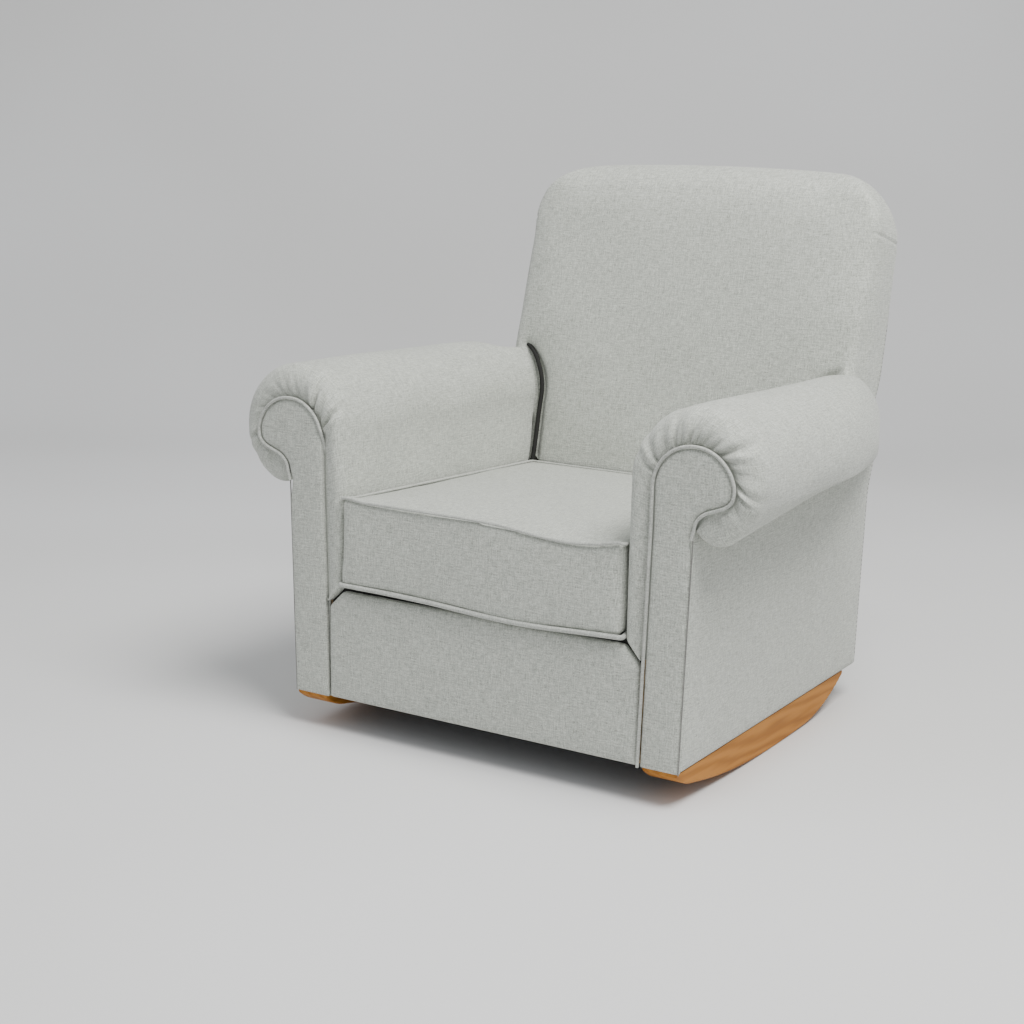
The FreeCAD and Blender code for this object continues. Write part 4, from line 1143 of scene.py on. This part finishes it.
def back_rings():
    """Sections of the block from bottom to top, as rings of (x, v, w)."""
    straight = np.linspace(V_LOW, V_TOP - TOP_CORNER, 60, endpoint=False)
    turned = V_TOP - TOP_CORNER + TOP_CORNER * np.sin(np.linspace(0, math.pi / 2, 26))
    rings = []
    for v in np.concatenate([straight, turned]):
        spread = smooth_step(v, -0.215, -0.160)
        half = NARROW_HALF + (BACK_HALF + 0.035 * max(v, 0) - 0.004 - NARROW_HALF) * spread
        above = max(0.0, v - (V_TOP - TOP_CORNER))
        half -= TOP_CORNER - math.sqrt(max(0.0, TOP_CORNER ** 2 - above ** 2))
        rounding = max(0.0, v - (V_TOP - FRONT_ROUND))
        front = FRONT_ROUND - math.sqrt(max(0.0, FRONT_ROUND ** 2 - rounding ** 2))
        rear = np.interp(v, (-0.300, -0.232, -0.20, -0.052, 0.06, 0.218, 0.268, 0.312),
                         (0.060, 0.090, 0.108, 0.138, 0.133, 0.104, 0.088, 0.066))
        ring = []
        for centre_x, centre_w, radius, begin in (
                (half - SIDE_ROUND, front + SIDE_ROUND, SIDE_ROUND, -90),
                (half - REAR_ROUND, rear - REAR_ROUND, REAR_ROUND, 0),
                (-half + REAR_ROUND, rear - REAR_ROUND, REAR_ROUND, 90),
                (-half + SIDE_ROUND, front + SIDE_ROUND, SIDE_ROUND, 180)):
            for step in range(7):
                angle = math.radians(begin + 90 * step / 6)
                w = centre_w + radius * math.sin(angle)
                ring.append((centre_x + radius * math.cos(angle), v, min(w, rear)))
        rings.append(ring)
    return np.array(rings)


def back_mesh():
    rings = [from_back(ring[:, 0], ring[:, 1], ring[:, 2]) for ring in back_rings()]
    return voxel_mesh(ring_mesh("back_cover", rings), BACK_VOXEL, 3)


mesh = back_mesh()
local = to_back(points_of(mesh))
hold = smooth_step(local[:, 2], 0.050, 0.075)
hold = np.maximum(hold, 1 - smooth_step(local[:, 1], V_LOW, V_LOW + 0.03))
wide = np.maximum(np.abs(local[:, 0]) - 0.300, 0)
low_wing = (1 - smooth_step(local[:, 1], -0.09, -0.05)) * smooth_step(wide, 0.0, 0.02)
hold = np.maximum(hold, low_wing)
set_points(mesh, puffed(mesh, hold, 4.0, 0.013, 45, stiffness=30.0, bend=4.0))
coords = points_of(mesh)
local = to_back(coords)
arch = 0.014 * (1 - (local[:, 0] / BACK_HALF) ** 2) * smooth_step(local[:, 1], 0.10, 0.30)
set_points(mesh, from_back(local[:, 0], local[:, 1] + arch, local[:, 2]))
mesh = finer(mesh)
mesh.name = "back_cover"


def side_seam_sink(local):
    """A short sunken seam across the boxing near each top corner."""
    side = smooth_step(np.abs(local[:, 0]), BACK_HALF - 0.018, BACK_HALF - 0.006)
    line = np.exp(-((local[:, 1] - 0.196) / 0.0022) ** 2)
    return 0.0028 * line * side


coords = points_of(mesh)
local = to_back(coords)
normals = vertex_normals(mesh)
push = -side_seam_sink(local)
slow = 0.0022 * np.sin(local[:, 0] * 9.0 + 0.7) * np.sin(local[:, 1] * 11.0 + 0.4)
slow += 0.0012 * np.sin(local[:, 0] * 21.0 + 2.0) * np.sin(local[:, 1] * 17.0 + 1.0)
push += slow * (1 - smooth_step(local[:, 2], 0.02, 0.06))
gap = np.hypot((local[:, 0] - 0.335) / 0.055, (local[:, 1] + 0.030) / 0.060)
push -= 0.010 * np.exp(-gap ** 2) * (1 - smooth_step(local[:, 2], 0.03, 0.07))
arm_line = section(1.0, 0.0)[:LEG_STEPS + SCROLL_STEPS // 2]
near_arm = np.stack([np.abs(coords[:, 0]), coords[:, 2]], axis=1)
arm_path = np.stack([arm_line[:, 0], arm_line[:, 1], np.zeros(len(arm_line))], axis=1)
gap = nearest_gap(np.concatenate([near_arm, np.zeros((len(coords), 1))], axis=1), arm_path)
front_part = 1 - smooth_step(local[:, 2], 0.02, 0.05)
front_part *= 1 - smooth_step(near_arm[:, 0], 0.318, 0.350)
push -= (0.012 * np.exp(-(gap / 0.011) ** 2) + 0.005 * np.exp(-(gap / 0.035) ** 2)) * front_part
set_points(mesh, coords + normals * push[:, None])
box_uv(mesh)
back_cover = add_object("back_cover", mesh, cloth, CHAIR)
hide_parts("inside_back", "back_side_left", "back_side_right", "back_top_border")
print("back", len(mesh.polygons), "faces")

# %% [markdown]
# Where an arm meets the back, both cloths are pulled down into the same gap, and no light
# reaches its bottom. A near-black cord in that gap is painted shadow: sinking into the cloth at
# its upper end, it gives the same dark line that grows thinner as it rises.

# %% Painted shadow cord in the gap between each arm and the back
TUCK_RADIUS = 0.0044
TUCK_OFFSET = 0.0034
TUCK_FADE = 0.075


def tuck_path(side):
    """The arm's outline laid on the leaning back, sinking into the cloth at its upper end."""
    highest = 0.640 if side < 0 else 0.580
    spots = np.array([spot for spot in arm_line[6:] if spot[0] < 0.335 and spot[1] < highest])
    along = np.gradient(spots, axis=0)
    along /= np.linalg.norm(along, axis=1)[:, None]
    away = np.stack([-along[:, 1], along[:, 0]], axis=1)
    away *= np.sign(np.sum(away * (spots - [0.385, 0.45]), axis=1))[:, None]
    spots = spots + away * TUCK_OFFSET
    sink = -0.0015 + 0.0150 * smooth_step(spots[:, 1], highest - TUCK_FADE, highest)
    depth = BACK_Y + BACK_SLOPE * (spots[:, 1] - BACK_Z) + sink
    return np.stack([side * spots[:, 0], depth, spots[:, 1]], axis=1)


for side_name, side in SIDES:
    cord = welt(f"arm_back_tuck_{side_name}", tuck_path(side), TUCK_RADIUS, painted_gap_shadow, CHAIR,
                spacing=0.008)
    print(cord.name, len(cord.data.polygons), "faces")

# %% [markdown]
# ## The outside back
# A single panel closes the rear. Below it hangs straight down from the frame, and above the
# arms it follows the slope of the back. Its upright edges are closed with hand stitches later.

# %% Outside back panel
rear_low, rear_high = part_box("outside_back")
REAR_LINE = ((0.304, rear_low.z - 0.0015), (0.304, 0.400), (0.331, 0.476), (0.397, 0.590), (0.421, 0.700),
             (0.431, 0.800), (rear_high.y, 0.866), (0.434, rear_high.z))


def rear_point(run):
    """(y, z) at a run length along the rear line, with soft bends."""
    line = np.array(REAR_LINE)
    spans = np.linalg.norm(np.diff(line, axis=0), axis=1)
    stops = np.concatenate([[0], np.cumsum(spans)])
    total = stops[-1]
    spread = np.clip(run * total + np.linspace(-0.022, 0.022, 9), 0, total)
    return np.interp(spread, stops, line[:, 0]).mean(), np.interp(spread, stops, line[:, 1]).mean()


def rear_half(z):
    lower = 0.3795 + 0.0085 * min(1.1, max(0.0, (z - BASE_Z) / 0.40))
    upper = BACK_HALF - 0.008
    return lower + (upper - lower) * smooth_step(z, 0.485, 0.560)


def outside_back():
    rows, columns = 120, 90
    front = np.zeros((rows, columns, 3))
    uv = np.zeros((rows, columns, 2))
    for i in range(rows):
        share = i / (rows - 1)
        y, z = rear_point(share)
        half = rear_half(z)
        corner = max(0.0, z - (rear_high.z - 0.05))
        half -= 0.05 - math.sqrt(max(0.0, 0.05 ** 2 - corner ** 2)) if corner > 0 else 0.0
        across = np.linspace(-1, 1, columns)
        puff = 0.006 * (1 - across ** 4) * math.sin(math.pi * share) ** 0.5
        front[i, :, 0] = across * half
        front[i, :, 1] = y + 0.0012 + puff - 0.0010 * np.abs(across) ** 40
        front[i, :, 2] = z
        uv[i, :, 0] = across * half
        uv[i, :, 1] = share * 0.86
    inner = front.copy()
    inner[:, :, 1] -= 0.006
    ring = np.concatenate([front, inner[:, ::-1]], axis=1).transpose(1, 0, 2)
    ring_uv = np.concatenate([uv, uv[:, ::-1]], axis=1).transpose(1, 0, 2)
    return grid_mesh("outside_back_panel", ring, ring_uv, close_rows=True, caps=True)


mesh = outside_back()
panel = add_object("outside_back_panel", mesh, cloth, CHAIR)
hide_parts("outside_back")
print("outside back", len(mesh.polygons), "faces")

# %% [markdown]
# ## The seat cushion
# The loose cushion is a foam block in a boxed cover: a top panel, a bottom panel and a border
# round the sides, with a welt in both seams. Its top crowns, its border bulges a little, and
# the top front corners stick up as small ears where the welt turns.


# %% Cushion seams
low_box, high_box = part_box("cushion_cover")
top_box, bottom_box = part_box("cushion_welt_top"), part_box("cushion_welt_bottom")
HALF = high_box.x + 0.002
TURN = 0.006
PITCH = math.radians(2.3)
FRONT_LINE = ((low_box.y, 0.2722), (low_box.y + 0.006, 0.4208))
REAR_TOP_Y, REAR_LOW_Y = top_box[1].y - 0.005, bottom_box[1].y - 0.005


def seam_loop(front, rear_y, count=420):
    """A closed seam: a rectangle with tight corners, falling towards the rear."""
    front_y, front_z = front
    flat = []
    for corner_x, corner_y, begin in ((HALF, rear_y, 0), (-HALF, rear_y, 90),
                                      (-HALF, front_y, 180), (HALF, front_y, 270)):
        turn_x = corner_x - math.copysign(TURN, corner_x)
        turn_y = corner_y - (TURN if corner_y == rear_y else -TURN)
        for step in range(7):
            angle = math.radians(begin + 15 * step)
            flat.append((turn_x + TURN * math.cos(angle), turn_y + TURN * math.sin(angle)))
    flat = np.array(flat + flat[:1])
    spans = np.linalg.norm(np.diff(flat, axis=0), axis=1)
    stops = np.concatenate([[0], np.cumsum(spans)])
    run = np.linspace(0, stops[-1], count, endpoint=False)
    x = np.interp(run, stops, flat[:, 0])
    y = np.interp(run, stops, flat[:, 1])
    return np.stack([x, y, front_z - (y - front_y) * math.tan(PITCH)], axis=1)


top_seam = seam_loop(FRONT_LINE[1], REAR_TOP_Y)
bottom_seam = seam_loop(FRONT_LINE[0], REAR_LOW_Y)
front_y = low_box.y
for seam in (top_seam, bottom_seam):
    spread = np.exp(-((seam[:, 1] - front_y) / 0.022) ** 2)
    seam[:, 0] += 0.008 * spread * np.clip(seam[:, 0] / 0.25, -1, 1) ** 5
SAGS = ((top_seam, 0.0125, 0.165, 0.095), (bottom_seam, 0.0095, 0.080, 0.150))
for seam, sag, place, reach in SAGS:
    near_front = 1 - smooth_step(seam[:, 1], front_y + 0.01, front_y + 0.09)
    seam[:, 2] -= sag * near_front * np.exp(-((seam[:, 0] - place) / reach) ** 2)
ear = np.exp(-(np.hypot(np.abs(top_seam[:, 0]) - 0.262, top_seam[:, 1] - front_y) / 0.020) ** 2)
top_seam[:, 2] += 0.0040 * ear
print("cushion seams", len(top_seam), "points each")


# %% Cushion cover
CUSHION_VOXEL = 0.0055
blank = ring_mesh("cushion_blank", (bottom_seam[::4], top_seam[::4]))
mesh = voxel_mesh(blank, CUSHION_VOXEL, 1)
coords = points_of(mesh)
gap = np.minimum(nearest_gap(coords, top_seam), nearest_gap(coords, bottom_seam))
hold = 1 - smooth_step(gap, 0.005, 0.012)
normals = vertex_normals(mesh)
under = smooth_step(-normals[:, 2], 0.5, 0.9)
hold = np.maximum(hold, under * 0.9)
facing_up = smooth_step(normals[:, 2], 0.5, 0.9)
set_points(mesh, inflate(mesh, hold, 4.0, 0.017, stiffness=15.0, keep=0.40 + 0.60 * facing_up))
mesh = finer(mesh)
mesh.name = "seat_cushion_cover"
coords = points_of(mesh)
normals = vertex_normals(mesh)
gap = np.minimum(nearest_gap(coords, top_seam), nearest_gap(coords, bottom_seam))
push = -0.0034 * np.exp(-(gap / 0.0055) ** 2)
push += 0.0012 * np.sin(coords[:, 0] * 17 + 0.5) * np.sin(coords[:, 1] * 13 + 1.0)
set_points(mesh, coords + normals * push[:, None])
box_uv(mesh)
cushion = add_object("seat_cushion_cover", mesh, cloth, CUSHION)
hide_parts("cushion_cover")
print("cushion", len(mesh.polygons), "faces")

top_welt = welt("seat_cushion_top_welt", top_seam, 0.0026, piping_cloth, CUSHION, closed=True)
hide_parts("cushion_welt_top")
bottom_welt = welt("seat_cushion_bottom_welt", bottom_seam, 0.0042, piping_cloth, CUSHION,
                   closed=True)
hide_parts("cushion_welt_bottom")

# %% [markdown]
# ## Staples and hand stitches
# Under the seat the black dust cloth is stapled to the rails every few centimetres. The outside
# back is the last panel to go on, so its upright edges are closed by hand with a row of short
# stitches. Both are one small shape repeated along a path, set a little unevenly.


# %% A tree that repeats a small shape along a path
def row_tree(name, shape_kind):
    tree, source, target = group_with(name, [
        ("Length", "NodeSocketFloat", 0.010), ("Thickness", "NodeSocketFloat", 0.001),
        ("Spacing", "NodeSocketFloat", 0.030), ("Unevenness", "NodeSocketFloat", 0.12),
        ("Seed", "NodeSocketInt", 4), ("Finish", "NodeSocketMaterial", None)])
    line = tree.nodes.new("GeometryNodeMeshToCurve")
    even = tree.nodes.new("GeometryNodeResampleCurve")
    even.mode = "LENGTH"
    tangent = tree.nodes.new("GeometryNodeInputTangent")
    aim = tree.nodes.new("FunctionNodeAlignRotationToVector")
    aim.axis = "X"
    size = tree.nodes.new("ShaderNodeCombineXYZ")
    swing = tree.nodes.new("FunctionNodeRandomValue")
    swing.data_type = "FLOAT_VECTOR"
    swing_low = tree.nodes.new("ShaderNodeMath")
    swing_low.operation = "MULTIPLY"
    swing_low.inputs[1].default_value = -1.0
    tilt = tree.nodes.new("FunctionNodeRotateRotation")
    turn = tree.nodes.new("FunctionNodeEulerToRotation")
    shape = tree.nodes.new(shape_kind)
    if shape_kind == "GeometryNodeMeshUVSphere":
        shape.inputs["Segments"].default_value = 8
        shape.inputs["Rings"].default_value = 5
        shape.inputs["Radius"].default_value = 0.5
    spread = tree.nodes.new("GeometryNodeInstanceOnPoints")
    real = tree.nodes.new("GeometryNodeRealizeInstances")
    finish = tree.nodes.new("GeometryNodeSetMaterial")
    link = tree.links.new
    link(source.outputs["Geometry"], line.inputs[0])
    link(line.outputs[0], even.inputs["Curve"])
    link(source.outputs["Spacing"], even.inputs["Length"])
    link(tangent.outputs[0], aim.inputs["Vector"])
    link(source.outputs["Length"], size.inputs[0])
    link(source.outputs["Thickness"], size.inputs[1])
    link(source.outputs["Thickness"], size.inputs[2])
    link(source.outputs["Unevenness"], swing_low.inputs[0])
    link(swing_low.outputs[0], swing.inputs["Min"])
    link(source.outputs["Unevenness"], swing.inputs["Max"])
    link(source.outputs["Seed"], swing.inputs["Seed"])
    link(swing.outputs["Value"], turn.inputs[0])
    link(aim.outputs[0], tilt.inputs[0])
    link(turn.outputs[0], tilt.inputs[1])
    link(even.outputs[0], spread.inputs["Points"])
    link(shape.outputs["Mesh"], spread.inputs["Instance"])
    link(tilt.outputs[0], spread.inputs["Rotation"])
    link(size.outputs[0], spread.inputs["Scale"])
    link(spread.outputs[0], real.inputs[0])
    link(real.outputs[0], finish.inputs["Geometry"])
    link(source.outputs["Finish"], finish.inputs["Material"])
    link(finish.outputs[0], target.inputs[0])
    return tree


STAPLE_TREE = row_tree("staples_along_path", "GeometryNodeMeshCube")
STITCH_TREE = row_tree("stitches_along_path", "GeometryNodeMeshUVSphere")

# %% Staples round the dust cloth
dust_low, dust_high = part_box("dust_cover")
EDGE = 0.009
corner_x, front_edge, rear_edge = dust_high.x - EDGE, dust_low.y + EDGE, dust_high.y - EDGE
under = dust_low.z - 0.0002
corners = [(-corner_x, front_edge, under), (corner_x, front_edge, under),
           (corner_x, rear_edge, under), (-corner_x, rear_edge, under)]
staple_sizes = {"Length": 0.010, "Thickness": 0.0011, "Spacing": 0.040, "Seed": 4}
staples = along_path("dust_cloth_staples", STAPLE_TREE, corners, staple_sizes,
                     hidden_finish["spring_steel"], CHAIR, closed=True,
                     smooth=False)
print("staples", len(staples.data.polygons) // 6)

# %% Hand stitches up the rear edges
stitch_sizes = {"Length": 0.0050, "Thickness": 0.0013, "Spacing": 0.0085, "Unevenness": 0.16,
                "Seed": 9}
for side_name, side in SIDES:
    seam = []
    for share in np.linspace(0.03, 0.90, 60):
        y, z = rear_point(share)
        seam.append((side * (rear_half(z) + 0.0002), y - 0.0030, z))
    stitches = along_path(f"outside_back_stitches_{side_name}", STITCH_TREE, seam, stitch_sizes,
                          thread_and_seam_shadow, CHAIR)
    print(stitches.name, len(stitches.data.polygons), "faces")
